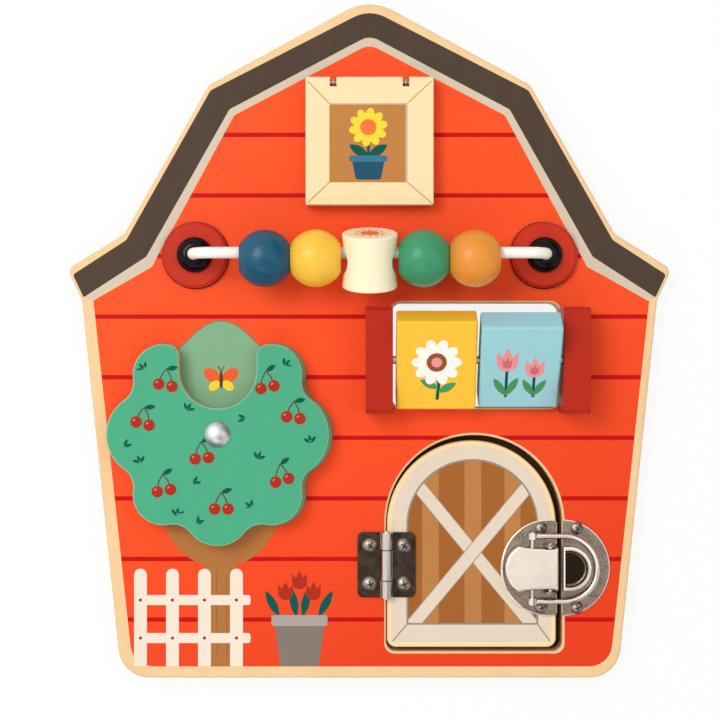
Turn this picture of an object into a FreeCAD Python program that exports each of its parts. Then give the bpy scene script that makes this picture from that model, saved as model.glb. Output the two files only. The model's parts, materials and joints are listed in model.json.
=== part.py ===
"""Wooden busy board: a barn-shaped panel with a lift-up shutter, beads on a rod, two flip
blocks, a turning tree and a latched door. Millimetres, the board lies on its back."""
import FreeCAD, Part
import Sketcher
import math
import os
from types import SimpleNamespace

# Driving sizes

SIZES = {
    # Board outline and layers
    "board_height": (337.0, "bottom edge to rounded roof peak"),
    "eave_span": (302.3, "between the eave tips before they are rounded"),
    "roof_pitch": (28.5, "slope of the upper roof in degrees"),
    "knee_span": (160.8, "between the roof knees"),
    "steep_drop": (74.7, "height of the steep roof stretch"),
    "valley_span": (245.6, "between the inner corners above the eaves"),
    "eave_drop": (17.55, "inner corner down to the eave tip"),
    "eave_depth": (15.35, "eave tip down to the wall"),
    "wall_top_span": (288.0, "width under the eaves"),
    "wall_foot_span": (248.4, "width at the bottom edge"),
    "peak_round": (24.5, "radius of the roof peak"),
    "bend_round": (6.0, "radius of knees, inner corners and wall tops"),
    "tip_round": (4.2, "radius of the eave tips"),
    "foot_round": (15.5, "radius of the bottom corners"),
    "edge_round": (1.2, "radius along the outer front edge"),
    "rim_chamfer": (0.6, "chamfer round each cut-out"),
    "front_thick": (9.0, "printed front panel"),
    "back_thick": (3.0, "backing panel"),
    # Bead rod, its discs and collars
    "rod_rise": (211.3, "rod above the bottom edge"),
    "rod_reach": (87.0, "centre line to a rod leg"),
    "rod_radius": (2.8, "coated wire"),
    "rod_lift": (21.0, "rod axis above the front face"),
    "rod_bend": (9.0, "bend radius of the rod axis"),
    "disc_radius": (16.5, "red end disc"),
    "disc_gap": (0.5, "between disc and hole"),
    "disc_proud": (4.0, "disc above the front face"),
    "disc_chamfer": (1.5, "chamfer of the disc edge"),
    "disc_screw_reach": (11.0, "disc centre to a fixing screw"),
    "collar_radius": (8.85, "domed collar"),
    "collar_height": (5.5, "domed collar"),
    "bead_radius": (14.0, "round bead"),
    "bead_width": (24.6, "round bead between its flats"),
    "bead_gap": (0.3, "between beads"),
    "bead_hang": (2.8, "bead axis below the rod axis"),
    "spool_radius": (13.65, "spool at its ends"),
    "spool_waist": (12.6, "spool at its waist"),
    "spool_length": (27.0, "spool along its own axis"),
    "spool_round": (1.0, "spool end edge"),
    "spool_hang": (3.7, "spool centre below the rod axis"),
    "spool_tilt": (17.0, "spool turned towards the viewer, degrees"),
    # Flip blocks
    "flip_x": (53.0, "centre of the flip window"),
    "axle_rise": (159.0, "axle above the bottom edge"),
    "axle_radius": (2.0, "steel axle"),
    "axle_seat": (9.0, "axle depth in a bracket"),
    "block_width": (39.2, "block along the axle"),
    "block_length": (47.0, "block across the axle"),
    "block_thick": (15.0, "block"),
    "block_gap": (1.65, "beside and between blocks"),
    "block_round": (1.2, "block edges"),
    "yellow_tilt": (23.6, "rest angle in degrees"),
    "blue_tilt": (33.5, "rest angle in degrees"),
    "floor_gap": (1.35, "between a block on end and the surface below"),
    "window_low": (3.2, "window beyond the block swing, lower side"),
    "window_high": (8.2, "window beyond the block swing, upper side"),
    "window_side": (0.3, "window beyond a bracket face"),
    "window_round": (5.0, "window corners"),
    "bracket_width": (13.25, "bracket along the axle"),
    "bracket_length": (52.0, "bracket across the axle"),
    "bracket_cover": (6.0, "bracket above the axle axis"),
    "bracket_chamfer": (1.8, "bracket end chamfer"),
    "bracket_edge": (0.6, "bracket long edges"),
    "bracket_screw_half": (16.0, "axle to a bracket screw"),
    # Turning tree
    "tree_reach": (75.15, "centre line to the tree pivot"),
    "tree_rise": (122.1, "tree pivot above the bottom edge"),
    "tree_radius": (55.0, "pivot to the top of a lobe"),
    "tree_thick": (9.0, "tree disc"),
    "tree_gap": (1.5, "spacer under the tree disc"),
    "tree_edge": (0.6, "chamfer of the tree disc"),
    "side_lobe": (21.0, "radius of the left and right lobes"),
    "corner_lobe": (15.0, "radius of the four diagonal lobes"),
    "end_lobe": (17.0, "radius of the bottom lobe"),
    "lobe_angle": (48.0, "direction of a diagonal lobe in degrees"),
    "valley_radius": (11.0, "hollow between lobes"),
    "notch_half": (19.3, "half width of the notch"),
    "notch_floor": (12.85, "pivot to the notch bottom"),
    "notch_shoulder": (5.5, "radius of the notch shoulders"),
    "rivet_radius": (3.0, "tree rivet shank"),
    "rivet_cap_radius": (6.4, "tree rivet cap"),
    "rivet_cap_height": (3.0, "tree rivet cap"),
    "rivet_play": (0.3, "cap above the tree disc"),
    "spacer_radius": (7.0, "washer under the tree disc"),
    "burr_radius": (6.3, "washer on the back end of the rivet"),
    "burr_recess": (2.0, "depth of its recess in the back"),
    "burr_gap": (0.7, "round that washer"),
    # Shutter
    "shutter_width": (63.35, "shutter"),
    "shutter_height": (63.7, "shutter"),
    "shutter_rise": (235.6, "shutter foot above the bottom edge"),
    "shutter_thick": (9.0, "shutter"),
    "shutter_gap": (0.6, "shutter above the front face"),
    "shutter_round": (1.2, "shutter corners"),
    "shutter_edge": (0.8, "shutter front edges"),
    "shutter_top_round": (2.2, "top edge, so that it can swing"),
    "shutter_pin_radius": (0.8, "pivot wire"),
    "shutter_pin_drop": (2.6, "top edge to pivot wire"),
    "shutter_pin_inset": (4.0, "side to the end of the pivot wire"),
    "eye_reach": (18.0, "centre line to a screw eye"),
    "eye_wire": (0.7, "wire radius of a screw eye"),
    "eye_shank": (0.6, "shank radius of a screw eye"),
    "eye_depth": (7.5, "screw eye in the panel"),
    "eye_notch": (3.3, "notch width"),
    "eye_notch_depth": (5.1, "notch depth"),
    # Door
    "hinge_x": (8.5, "hinge axis right of the centre line"),
    "door_width": (84.4, "door"),
    "door_height": (103.15, "door foot to the top of its arch"),
    "door_rise": (15.5, "door foot above the bottom edge"),
    "door_round": (4.5, "lower door corners"),
    "door_back_gap": (0.5, "behind the door"),
    "door_hinge_gap": (0.5, "at the hinged side"),
    "door_free_gap": (3.25, "at the latch side"),
    "door_top_gap": (2.85, "above the door"),
    "door_foot_gap": (2.15, "below the door"),
    "door_edge": (0.5, "chamfer of the door"),
    # Hinge
    "hinge_rise": (56.7, "hinge centre above the bottom edge"),
    "hinge_height": (32.5, "hinge leaf"),
    "leaf_width": (14.45, "axis to the edge of a leaf"),
    "leaf_thick": (1.0, "hinge leaf"),
    "leaf_round": (3.0, "outer leaf corners"),
    "leaf_edge": (0.3, "rounded upper edge of a leaf"),
    "knuckle_radius": (2.75, "hinge knuckle"),
    "knuckle_lift": (0.25, "knuckle above the wood"),
    "knuckle_middle": (15.0, "length of the door knuckle"),
    "knuckle_gap": (0.2, "between knuckles"),
    "hinge_pin_radius": (1.5, "hinge pin"),
    "hinge_pin_extra": (0.75, "pin beyond each end"),
    "hinge_screw_reach": (8.45, "axis to a hinge screw"),
    "hinge_screw_half": (9.55, "hinge centre to a hinge screw"),
    # Toggle latch
    "latch_rise": (55.2, "latch centre line above the bottom edge"),
    "plate_radius": (24.2, "half-moon plates"),
    "plate_thick": (1.0, "half-moon plates"),
    "plate_round": (2.0, "corners of the half-moon plates"),
    "plate_edge": (0.35, "rounded upper edge of the half-moon plates"),
    "rim_span": (54.0, "half angle of the raised rim of the base, degrees"),
    "rim_width": (1.0, "raised rim of the base"),
    "rim_height": (1.3, "raised rim above its plate"),
    "plate_overhang": (0.5, "plates beyond the wood at the gap"),
    "base_shift": (4.0, "straight edge beyond the centre of the base arc"),
    "latch_screw_half": (19.8, "latch centre line to a screw"),
    "base_screw_inset": (8.0, "straight edge to a screw of the base"),
    "keeper_screw_inset": (7.6, "straight edge to a screw of the keeper"),
    "pivot_inset": (3.85, "straight edge of the base to the lever pin"),
    "pivot_lift": (5.3, "lever pin above the front face"),
    "lever_pin_radius": (1.1, "lever pin"),
    "ear_thick": (1.2, "ears of the base"),
    "ear_gap": (0.4, "between ear and lever"),
    "lever_half": (10.7, "half width of the lever at its pivot"),
    "lever_tail": (0.8, "how much wider the finger end is, each side"),
    "lever_length": (22.5, "pivot to the finger end"),
    "lever_nose": (4.0, "pivot to the short end"),
    "lever_bow": (7.0, "length of the curved finger end"),
    "lever_top": (1.6, "lever above its pivot"),
    "lever_depth": (4.6, "lever top to the foot of its cheeks"),
    "lever_sheet": (1.4, "lever wall"),
    "loop_arm": (8.8, "lever pin to loop pin"),
    "loop_drop": (0.5, "loop pin below the lever pin"),
    "loop_pin_radius": (1.0, "loop pin"),
    "loop_wire": (1.25, "wire radius of the loop"),
    "loop_half": (16.25, "half width of the loop axis"),
    "loop_leg": (16.0, "straight part of a loop leg"),
    "loop_eye": (2.3, "radius of the loop eyes"),
    "loop_eye_width": (3.0, "loop eyes along the pin"),
    "hook_half": (11.1, "half width of the keeper hook"),
    "hook_inset": (0.3, "straight edge of the keeper to the hook"),
    "hook_centre": (3.5, "straight edge of the keeper to the hook arc centre"),
    "hook_height": (4.8, "hook above its plate"),
    "hook_step": (1.9, "foot of the hook above its plate"),
    "hook_foot": (1.9, "foot of the hook beyond the hook"),
    "hook_round": (0.8, "upper edge of the hook"),
    "hook_lip": (1.1, "straight lip of the dished hook"),
    "hook_rim": (2.0, "round rim of the dished hook"),
    "hook_dish": (2.8, "depth of the dish"),
    "dish_round": (1.6, "radius at the dish floor"),
    # Small screws
    "round_head_radius": (3.2, "latch screw head"),
    "rivet_head_radius": (3.7, "hinge screw head"),
    "head_height": (1.6, "domed screw heads"),
    "screw_radius": (1.3, "small screw shank"),
    "screw_length": (6.5, "small screw under its head"),
    "long_screw_radius": (1.5, "countersunk screw shank"),
    "sunk_head_radius": (3.0, "countersunk head"),
    "bracket_screw_length": (22.0, "bracket screw"),
    "disc_screw_length": (12.0, "disc screw"),
    # Fits
    "run_gap": (0.06, "radial clearance of a turning pin"),
    "seat_gap": (0.03, "radial clearance of a fixed pin or screw"),
}

X_WAY = FreeCAD.Vector(1, 0, 0)
Y_WAY = FreeCAD.Vector(0, 1, 0)
Z_WAY = FreeCAD.Vector(0, 0, 1)
NEAR = 0.01


class Formula:
    """A length with its number now and the spreadsheet expression that gives it."""

    def __init__(self, number, text):
        self.number = number
        self.text = text

    def __add__(self, other):
        return Formula(self.number + number_of(other), f"({self.text} + {text_of(other)})")

    def __radd__(self, other):
        return Formula(number_of(other) + self.number, f"({text_of(other)} + {self.text})")

    def __sub__(self, other):
        return Formula(self.number - number_of(other), f"({self.text} - {text_of(other)})")

    def __rsub__(self, other):
        return Formula(number_of(other) - self.number, f"({text_of(other)} - {self.text})")

    def __mul__(self, other):
        return Formula(self.number * number_of(other), f"({self.text} * {text_of(other)})")

    def __rmul__(self, other):
        return Formula(number_of(other) * self.number, f"({text_of(other)} * {self.text})")

    def __truediv__(self, other):
        return Formula(self.number / number_of(other), f"({self.text} / {text_of(other)})")

    def __neg__(self):
        return Formula(-self.number, f"(-{self.text})")


def number_of(value):
    return value.number if isinstance(value, Formula) else float(value)


def text_of(value):
    return value.text if isinstance(value, Formula) else f"({float(value)!r})"


def root(value):
    return Formula(math.sqrt(value.number), f"sqrt({value.text})")


def cosine(angle):
    return Formula(math.cos(math.radians(angle.number)), f"cos({angle.text})")


def sine(angle):
    return Formula(math.sin(math.radians(angle.number)), f"sin({angle.text})")


def tangent(angle):
    return Formula(math.tan(math.radians(angle.number)), f"tan({angle.text})")


doc = FreeCAD.newDocument("busy_board")
sheet = doc.addObject("Spreadsheet::Sheet", "Sizes")
for row, (alias, (size, note)) in enumerate(SIZES.items(), 1):
    sheet.set(f"A{row}", note)
    sheet.set(f"B{row}", repr(size))
    sheet.setAlias(f"B{row}", alias)
doc.recompute()
s = SimpleNamespace(**{alias: Formula(size, f"Sizes.{alias}") for alias, (size, note) in SIZES.items()})

# Places that several pieces share

bottom = -s.board_height / 2
face = s.back_thick + s.front_thick
rod_y = bottom + s.rod_rise
disc_hole = s.disc_radius + s.disc_gap
disc_top = face + s.disc_proud
rod_z = face + s.rod_lift

swing = root(s.block_length * s.block_length / 4 + s.block_thick * s.block_thick / 4)
axle_lift = swing + s.floor_gap - face
axle_y = bottom + s.axle_rise
axle_z = face + axle_lift
swing_chord = root(swing * swing - axle_lift * axle_lift)
bracket_span = s.block_width * 2 + s.block_gap * 3
window_left = s.flip_x - bracket_span / 2 - s.window_side
window_right = s.flip_x + bracket_span / 2 + s.window_side
window_foot = axle_y - swing_chord - s.window_low
window_head = axle_y + swing_chord + s.window_high
bracket_x = (bracket_span + s.bracket_width) / 2
bracket_spots = [
    (s.flip_x + side * bracket_x, axle_y + end * s.bracket_screw_half)
    for side in (-1, 1) for end in (-1, 1)
]
disc_spots = [
    (side * s.rod_reach + end * s.disc_screw_reach, rod_y) for side in (-1, 1) for end in (-1, 1)
]

tree_x = -s.tree_reach
tree_y = bottom + s.tree_rise
tree_z = face + s.tree_gap

shutter_foot = bottom + s.shutter_rise
shutter_pin_y = shutter_foot + s.shutter_height - s.shutter_pin_drop
shutter_z = face + s.shutter_gap
shutter_pin_z = shutter_z + s.shutter_thick / 2
shutter_eye_hole = s.shutter_pin_radius + s.run_gap
eye_ring = shutter_eye_hole + s.eye_wire

door_left = s.hinge_x + s.door_hinge_gap / 2
door_right = door_left + s.door_width
door_foot = bottom + s.door_rise
door_head = door_foot + s.door_height
door_low = s.back_thick + s.door_back_gap
doorway_left = s.hinge_x - s.door_hinge_gap / 2
doorway_right = door_right + s.door_free_gap
doorway_foot = door_foot - s.door_foot_gap
doorway_head = door_head + s.door_top_gap
doorway_round = s.door_round + s.door_foot_gap / 4

hinge_y = bottom + s.hinge_rise
hinge_z = face + s.knuckle_radius + s.knuckle_lift
hinge_fixed_spots = [(s.hinge_x - s.hinge_screw_reach, hinge_y + end * s.hinge_screw_half) for end in (-1, 1)]
hinge_door_spots = [(s.hinge_x + s.hinge_screw_reach, hinge_y + end * s.hinge_screw_half) for end in (-1, 1)]

latch_y = bottom + s.latch_rise
plate_top = face + s.plate_thick
base_edge = door_right + s.plate_overhang
keeper_edge = doorway_right - s.plate_overhang
base_spots = [(base_edge - s.base_screw_inset, latch_y + end * s.latch_screw_half) for end in (-1, 1)]
keeper_spots = [(keeper_edge + s.keeper_screw_inset, latch_y + end * s.latch_screw_half) for end in (-1, 1)]
lever_x = base_edge - s.pivot_inset
lever_z = face + s.pivot_lift
ear_inner = s.lever_half + s.ear_gap
lever_finger_half = s.lever_half + s.lever_tail
loop_x = lever_x - s.loop_arm
loop_z = lever_z - s.loop_drop

# How pieces are drawn

pieces = []


def keep(piece, name):
    """Give a finished piece its node name."""
    piece.Label = name
    pieces.append(piece)
    return piece


def bind(item, prop, value):
    item.setExpression(prop, text_of(value))


def place(item, x, y, z, axis=Z_WAY, turn=0):
    """Put a piece at a point, turned about an axis by some degrees."""
    item.Placement = FreeCAD.Placement(FreeCAD.Vector(), FreeCAD.Rotation(axis, number_of(turn)))
    bind(item, "Placement.Base.x", x)
    bind(item, "Placement.Base.y", y)
    bind(item, "Placement.Base.z", z)


def new_body(name):
    return keep(doc.addObject("PartDesign::Body", name), name)


def sketch_on(body, role, lift=0):
    """A sketch on a body's own plane, moved along the plane's normal."""
    sketch = body.newObject("Sketcher::SketchObject", "Sketch")
    plane = next(item for item in body.Origin.OriginFeatures if item.Role == role)
    sketch.AttachmentSupport = [(plane, "")]
    sketch.MapMode = "FlatFace"
    bind(sketch, "AttachmentOffset.Base.z", lift)
    return sketch


def fix_point(sketch, edge, end, x, y):
    """Hold an edge's start (1), end (2) or centre (3) at a point."""
    for way, value in (("DistanceX", x), ("DistanceY", y)):
        row = sketch.addConstraint(Sketcher.Constraint(way, -1, 1, edge, end, number_of(value)))
        bind(sketch, f"Constraints[{row}]", value)


def fix_radius(sketch, edge, radius):
    row = sketch.addConstraint(Sketcher.Constraint("Radius", edge, number_of(radius)))
    bind(sketch, f"Constraints[{row}]", radius)


def add_arc(sketch, start, finish, radius, turn):
    """An arc of less than half a turn, bending left for turn 1 and right for turn -1."""
    chord = finish - start
    left = FreeCAD.Vector(-chord.y, chord.x, 0).normalize()
    rise = math.sqrt(max(radius * radius - chord.Length ** 2 / 4, 0))
    centre = (start + finish) / 2 + left * (turn * rise)
    first, last = (start, finish) if turn > 0 else (finish, start)
    angles = [math.atan2(point.y - centre.y, point.x - centre.x) for point in (first, last)]
    if angles[1] < angles[0]:
        angles[1] += 2 * math.pi
    circle = Part.Circle(centre, Z_WAY, radius)
    return sketch.addGeometry(Part.ArcOfCircle(circle, *angles), False)


def draw(sketch, steps, closed=True):
    """Join points by lines, (x, y), and arcs, (x, y, radius, turn), each ending at its point."""
    spots = [FreeCAD.Vector(number_of(step[0]), number_of(step[1]), 0) for step in steps]
    ends = []
    for index in range(0 if closed else 1, len(steps)):
        step = steps[index]
        if len(step) == 2:
            edge = sketch.addGeometry(Part.LineSegment(spots[index - 1], spots[index]), False)
            ends.append((edge, 1, 2))
        else:
            edge = add_arc(sketch, spots[index - 1], spots[index], number_of(step[2]), step[3])
            ends.append((edge, 1, 2) if step[3] > 0 else (edge, 2, 1))
            fix_radius(sketch, edge, step[2])
        fix_point(sketch, edge, ends[-1][2], step[0], step[1])
    for one, other in zip(ends, ends[1:] + ends[:1] if closed else ends[1:]):
        sketch.addConstraint(Sketcher.Constraint("Coincident", one[0], one[2], other[0], other[1]))
    if not closed:
        fix_point(sketch, ends[0][0], ends[0][1], steps[0][0], steps[0][1])


def ring(sketch, x, y, radius):
    circle = Part.Circle(FreeCAD.Vector(number_of(x), number_of(y), 0), Z_WAY, number_of(radius))
    edge = sketch.addGeometry(circle, False)
    fix_radius(sketch, edge, radius)
    fix_point(sketch, edge, 3, x, y)


def rounded_box(sketch, left, right, low, high, radius):
    draw(sketch, [
        (right - radius, low), (right, low + radius, radius, 1),
        (right, high - radius), (right - radius, high, radius, 1),
        (left + radius, high), (left, high - radius, radius, 1),
        (left, low + radius), (left + radius, low, radius, 1),
    ])


def plain_box(sketch, left, right, low, high):
    draw(sketch, [(right, low), (right, high), (left, high), (left, low)])


def arch(sketch, left, right, low, high, corner):
    """A doorway: straight sides, a round head and rounded lower corners."""
    half = (right - left) / 2
    spring = high - half
    draw(sketch, [
        (right - corner, low), (right, low + corner, corner, 1), (right, spring),
        (left + half, high, half, 1), (left, spring, half, 1),
        (left, low + corner), (left + corner, low, corner, 1),
    ])


def half_round(sketch, left, centre, half):
    """A flat edge on the left and a round end on the right."""
    draw(sketch, [
        (left, -half), (centre, -half), (centre + half, 0, half, 1), (centre, half, half, 1), (left, half),
    ])


def pad(body, sketch, length):
    feature = body.newObject("PartDesign::Pad", "Pad")
    feature.Profile = sketch
    bind(feature, "Length", length)
    doc.recompute()


def pocket(body, sketch, depth, upward=False):
    """Cut against the sketch's normal, or along it, and make sure that something went."""
    before = body.Shape.Volume
    feature = body.newObject("PartDesign::Pocket", "Pocket")
    feature.Profile = sketch
    feature.Reversed = upward
    bind(feature, "Length", depth)
    doc.recompute()
    if not body.Shape.Volume < before:
        raise ValueError(f"a pocket in {body.Label} cuts nothing")


def revolve(body, sketch, axis="V_Axis"):
    feature = body.newObject("PartDesign::Revolution", "Revolution")
    feature.Profile = sketch
    feature.ReferenceAxis = (sketch, [axis])
    feature.Angle = 360
    doc.recompute()


def soften(body, kind, size, wanted):
    """Fillet or chamfer the edges of the body so far that a test picks."""
    base = body.Tip
    names = [f"Edge{number}" for number, edge in enumerate(base.Shape.Edges, 1) if wanted(edge)]
    if not names:
        raise ValueError(f"no edge of {body.Label} to soften")
    feature = body.newObject(f"PartDesign::{kind}", kind)
    feature.Base = (base, names)
    bind(feature, "Radius" if kind == "Fillet" else "Size", size)
    doc.recompute()


def span(edge, way):
    box = edge.BoundBox
    return (getattr(box, way + "Min"), getattr(box, way + "Max"))


def at(edge, way, value):
    """Does the edge lie at this coordinate from end to end?"""
    return all(abs(limit - number_of(value)) < NEAR for limit in span(edge, way))


def upright(*corners):
    """A test for edges along Z at the given points."""
    return lambda edge: any(at(edge, "X", x) and at(edge, "Y", y) for x, y in corners)


def along(way):
    """A test for straight edges along one axis."""
    others = [other for other in "XYZ" if other != way]
    return lambda edge: all(span(edge, other)[1] - span(edge, other)[0] < NEAR for other in others)


def rim_of_holes(body, height):
    """A test for the edges of the holes in the body's flat face at a height."""
    level = [item for item in body.Tip.Shape.Faces if at(item, "Z", height)]
    top = max(level, key=lambda item: item.Area)
    inner = [edge for wire in top.Wires if not wire.isSame(top.OuterWire) for edge in wire.Edges]
    return lambda edge: any(edge.isSame(other) for other in inner)


def cylinder(name, radius, length, x, y, z, axis=Z_WAY, turn=0):
    piece = doc.addObject("Part::Cylinder", name)
    bind(piece, "Radius", radius)
    bind(piece, "Height", length)
    place(piece, x, y, z, axis, turn)
    return keep(piece, name)


def screw_group(name, spots, outline, height, turn=0):
    """Equal turned screws at several spots, as one node of separate solids."""
    profile = doc.addObject("Sketcher::SketchObject", f"{name}_profile")
    profile.Placement = FreeCAD.Placement(FreeCAD.Vector(), FreeCAD.Rotation(X_WAY, 90))
    draw(profile, outline)
    members = []
    for x, y in spots:
        screw = doc.addObject("Part::Revolution", f"{name}_one")
        screw.Source = profile
        screw.Axis = Z_WAY
        screw.Angle = 360
        screw.Solid = True
        place(screw, x, y, height, X_WAY, turn)
        members.append(screw)
    group = doc.addObject("Part::Compound", name)
    group.Links = members
    return keep(group, name)


def domed_screw(head, length):
    """Outline of a screw with a domed head that stands on its seat at height 0."""
    dome = (head * head + s.head_height * s.head_height) / (s.head_height * 2)
    return [
        (0, -length), (s.screw_radius, -length + s.screw_radius), (s.screw_radius, 0), (head, 0),
        (0, s.head_height, dome, 1),
    ]


def sunk_screw(length):
    """Outline of a countersunk screw whose head is flush at height 0, pointing up."""
    cone = s.sunk_head_radius - s.long_screw_radius
    return [
        (0, 0), (s.sunk_head_radius, 0), (s.long_screw_radius, cone),
        (s.long_screw_radius, length - s.long_screw_radius), (0, length),
    ]


# Board: a printed front panel glued to a thin backing panel

def panel_outline(body, low, thick):
    """The barn outline, with every corner rounded."""
    peak_y = s.board_height / 2 + s.peak_round / cosine(s.roof_pitch) - s.peak_round
    knee = (s.knee_span / 2, peak_y - s.knee_span / 2 * tangent(s.roof_pitch))
    valley = (s.valley_span / 2, knee[1] - s.steep_drop)
    tip = (s.eave_span / 2, valley[1] - s.eave_drop)
    wall = (s.wall_top_span / 2, tip[1] - s.eave_depth)
    foot = (s.wall_foot_span / 2, bottom)
    right = [knee, valley, tip, wall, foot]
    left = [(-x, y) for x, y in reversed(right)]
    sketch = sketch_on(body, "XY_Plane", low)
    draw(sketch, [(0, peak_y)] + right + left)
    pad(body, sketch, thick)
    mirrored = lambda corner: [corner, (-corner[0], corner[1])]
    soften(body, "Fillet", s.peak_round, upright((0, peak_y)))
    soften(body, "Fillet", s.bend_round, upright(*mirrored(knee), *mirrored(valley), *mirrored(wall)))
    soften(body, "Fillet", s.tip_round, upright(*mirrored(tip)))
    soften(body, "Fillet", s.foot_round, upright(*mirrored(foot)))


def cut_window(body, top, depth):
    sketch = sketch_on(body, "XY_Plane", top)
    rounded_box(sketch, window_left, window_right, window_foot, window_head, s.window_round)
    pocket(body, sketch, depth)


def cut_holes(body, spots, radius, top, depth):
    sketch = sketch_on(body, "XY_Plane", top)
    for x, y in spots:
        ring(sketch, x, y, radius)
    pocket(body, sketch, depth)


front = new_body("front_panel")
panel_outline(front, s.back_thick, s.front_thick)
soften(front, "Fillet", s.edge_round, lambda edge: at(edge, "Z", face))
doorway = sketch_on(front, "XY_Plane", face)
arch(doorway, doorway_left, doorway_right, doorway_foot, doorway_head, doorway_round)
pocket(front, doorway, s.front_thick)
cut_window(front, face, s.front_thick)
soften(front, "Chamfer", s.rim_chamfer, rim_of_holes(front, face))
cut_holes(front, [(-s.rod_reach, rod_y), (s.rod_reach, rod_y)], disc_hole, face, s.front_thick)
cut_holes(front, [(tree_x, tree_y)], s.rivet_radius + s.seat_gap, face, s.front_thick)
cut_holes(front, bracket_spots, s.long_screw_radius + s.seat_gap, face, s.front_thick)
cut_holes(front, hinge_fixed_spots + keeper_spots, s.screw_radius + s.seat_gap, face,
          s.screw_length)
cut_holes(front, [(-s.eye_reach, shutter_pin_y), (s.eye_reach, shutter_pin_y)],
          s.eye_shank + s.seat_gap, face, s.eye_depth)

back = new_body("back_panel")
panel_outline(back, 0, s.back_thick)
cut_window(back, s.back_thick, s.back_thick)
cut_holes(back, [(tree_x, tree_y)], s.rivet_radius + s.seat_gap, s.back_thick, s.back_thick)
recess = sketch_on(back, "XY_Plane")
ring(recess, tree_x, tree_y, s.burr_radius + s.burr_gap)
pocket(back, recess, s.burr_recess, upward=True)
cut_holes(back, bracket_spots + disc_spots, s.long_screw_radius + s.seat_gap, s.back_thick,
          s.back_thick)
countersinks = rim_of_holes(back, 0)
soften(back, "Chamfer", s.sunk_head_radius - s.long_screw_radius,
       lambda edge: countersinks(edge) and span(edge, "X")[1] - span(edge, "X")[0]
       < 2 * s.sunk_head_radius.number)

# Bead rod: a staple of coated wire, standing in two discs under domed collars

def turned(name, outline):
    """A piece turned about Z from half its section."""
    body = new_body(name)
    section = sketch_on(body, "XZ_Plane")
    draw(section, outline)
    revolve(body, section)
    return body


def end_disc(name, side):
    bore = s.rod_radius + s.seat_gap
    thick = s.front_thick + s.disc_proud
    body = turned(name, [
        (bore, 0), (s.disc_radius, 0), (s.disc_radius, thick - s.disc_chamfer),
        (s.disc_radius - s.disc_chamfer, thick), (bore, thick),
    ])
    sketch = sketch_on(body, "XY_Plane")
    for end in (-1, 1):
        ring(sketch, end * s.disc_screw_reach, 0, s.long_screw_radius + s.seat_gap)
    pocket(body, sketch, s.disc_screw_length - s.back_thick, upward=True)
    place(body, side * s.rod_reach, rod_y, s.back_thick)


def collar(name, side):
    """A domed ring: straight foot, round shoulder, small flat round the rod."""
    bore = s.rod_radius + s.seat_gap
    crown = bore + 0.6
    foot = s.collar_height / 5
    shoulder = (s.collar_radius - crown + s.collar_height - foot) / 2
    body = turned(name, [
        (bore, 0), (s.collar_radius, 0), (s.collar_radius, foot),
        (crown, s.collar_height, shoulder * 1.08, 1), (bore, s.collar_height),
    ])
    place(body, side * s.rod_reach, rod_y, disc_top)


end_disc("disc_left", -1)
end_disc("disc_right", 1)
collar("collar_left", -1)
collar("collar_right", 1)

rod = new_body("bead_rod")
leg = s.back_thick - rod_z
route = sketch_on(rod, "XZ_Plane")
draw(route, [
    (-s.rod_reach, leg), (-s.rod_reach, -s.rod_bend), (-s.rod_reach + s.rod_bend, 0, s.rod_bend, -1),
    (s.rod_reach - s.rod_bend, 0), (s.rod_reach, -s.rod_bend, s.rod_bend, -1), (s.rod_reach, leg),
], closed=False)
section = sketch_on(rod, "XY_Plane", leg)
ring(section, -s.rod_reach, 0, s.rod_radius)
pipe = rod.newObject("PartDesign::AdditivePipe", "Pipe")
pipe.Profile = section
pipe.Spine = (route, [])
place(rod, 0, rod_y, rod_z)


def bead(name, x):
    """A ball with two flats, bored along X with play round the rod."""
    bore = s.rod_radius + s.bead_hang + 0.1
    half = s.bead_width / 2
    flat = root(s.bead_radius * s.bead_radius - half * half)
    body = turned(name, [
        (bore, -half), (flat, -half), (s.bead_radius, 0, s.bead_radius, 1),
        (flat, half, s.bead_radius, 1), (bore, half),
    ])
    place(body, x, rod_y - s.bead_hang, rod_z, Y_WAY, 90)


inner_bead_x = s.spool_radius + s.bead_gap + s.bead_width / 2
outer_bead_x = inner_bead_x + s.bead_width + s.bead_gap
bead("bead_blue", -outer_bead_x)
bead("bead_yellow", -inner_bead_x)
bead("bead_green", inner_bead_x)
bead("bead_orange", outer_bead_x)

spool = new_body("spool")
half_spool = s.spool_length / 2
dip = s.spool_radius - s.spool_waist
waist_arc = (half_spool * half_spool + dip * dip) / (dip * 2)
section = sketch_on(spool, "XY_Plane")
draw(section, [
    (0, -half_spool), (s.spool_radius, -half_spool), (s.spool_waist, 0, waist_arc, -1),
    (s.spool_radius, half_spool, waist_arc, -1), (0, half_spool),
])
revolve(spool, section)
soften(spool, "Fillet", s.spool_round,
       lambda edge: at(edge, "Y", half_spool) or at(edge, "Y", -half_spool))
cross_bore = sketch_on(spool, "YZ_Plane", s.spool_radius)
ring(cross_bore, 0, 0, s.rod_radius + s.spool_hang + 0.1)
pocket(spool, cross_bore, s.spool_radius * 2)
place(spool, 0, rod_y - s.spool_hang, rod_z, X_WAY, s.spool_tilt)

screw_group("disc_screws", disc_spots, sunk_screw(s.disc_screw_length), 0)

# Flip blocks on one axle between two brackets

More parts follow.
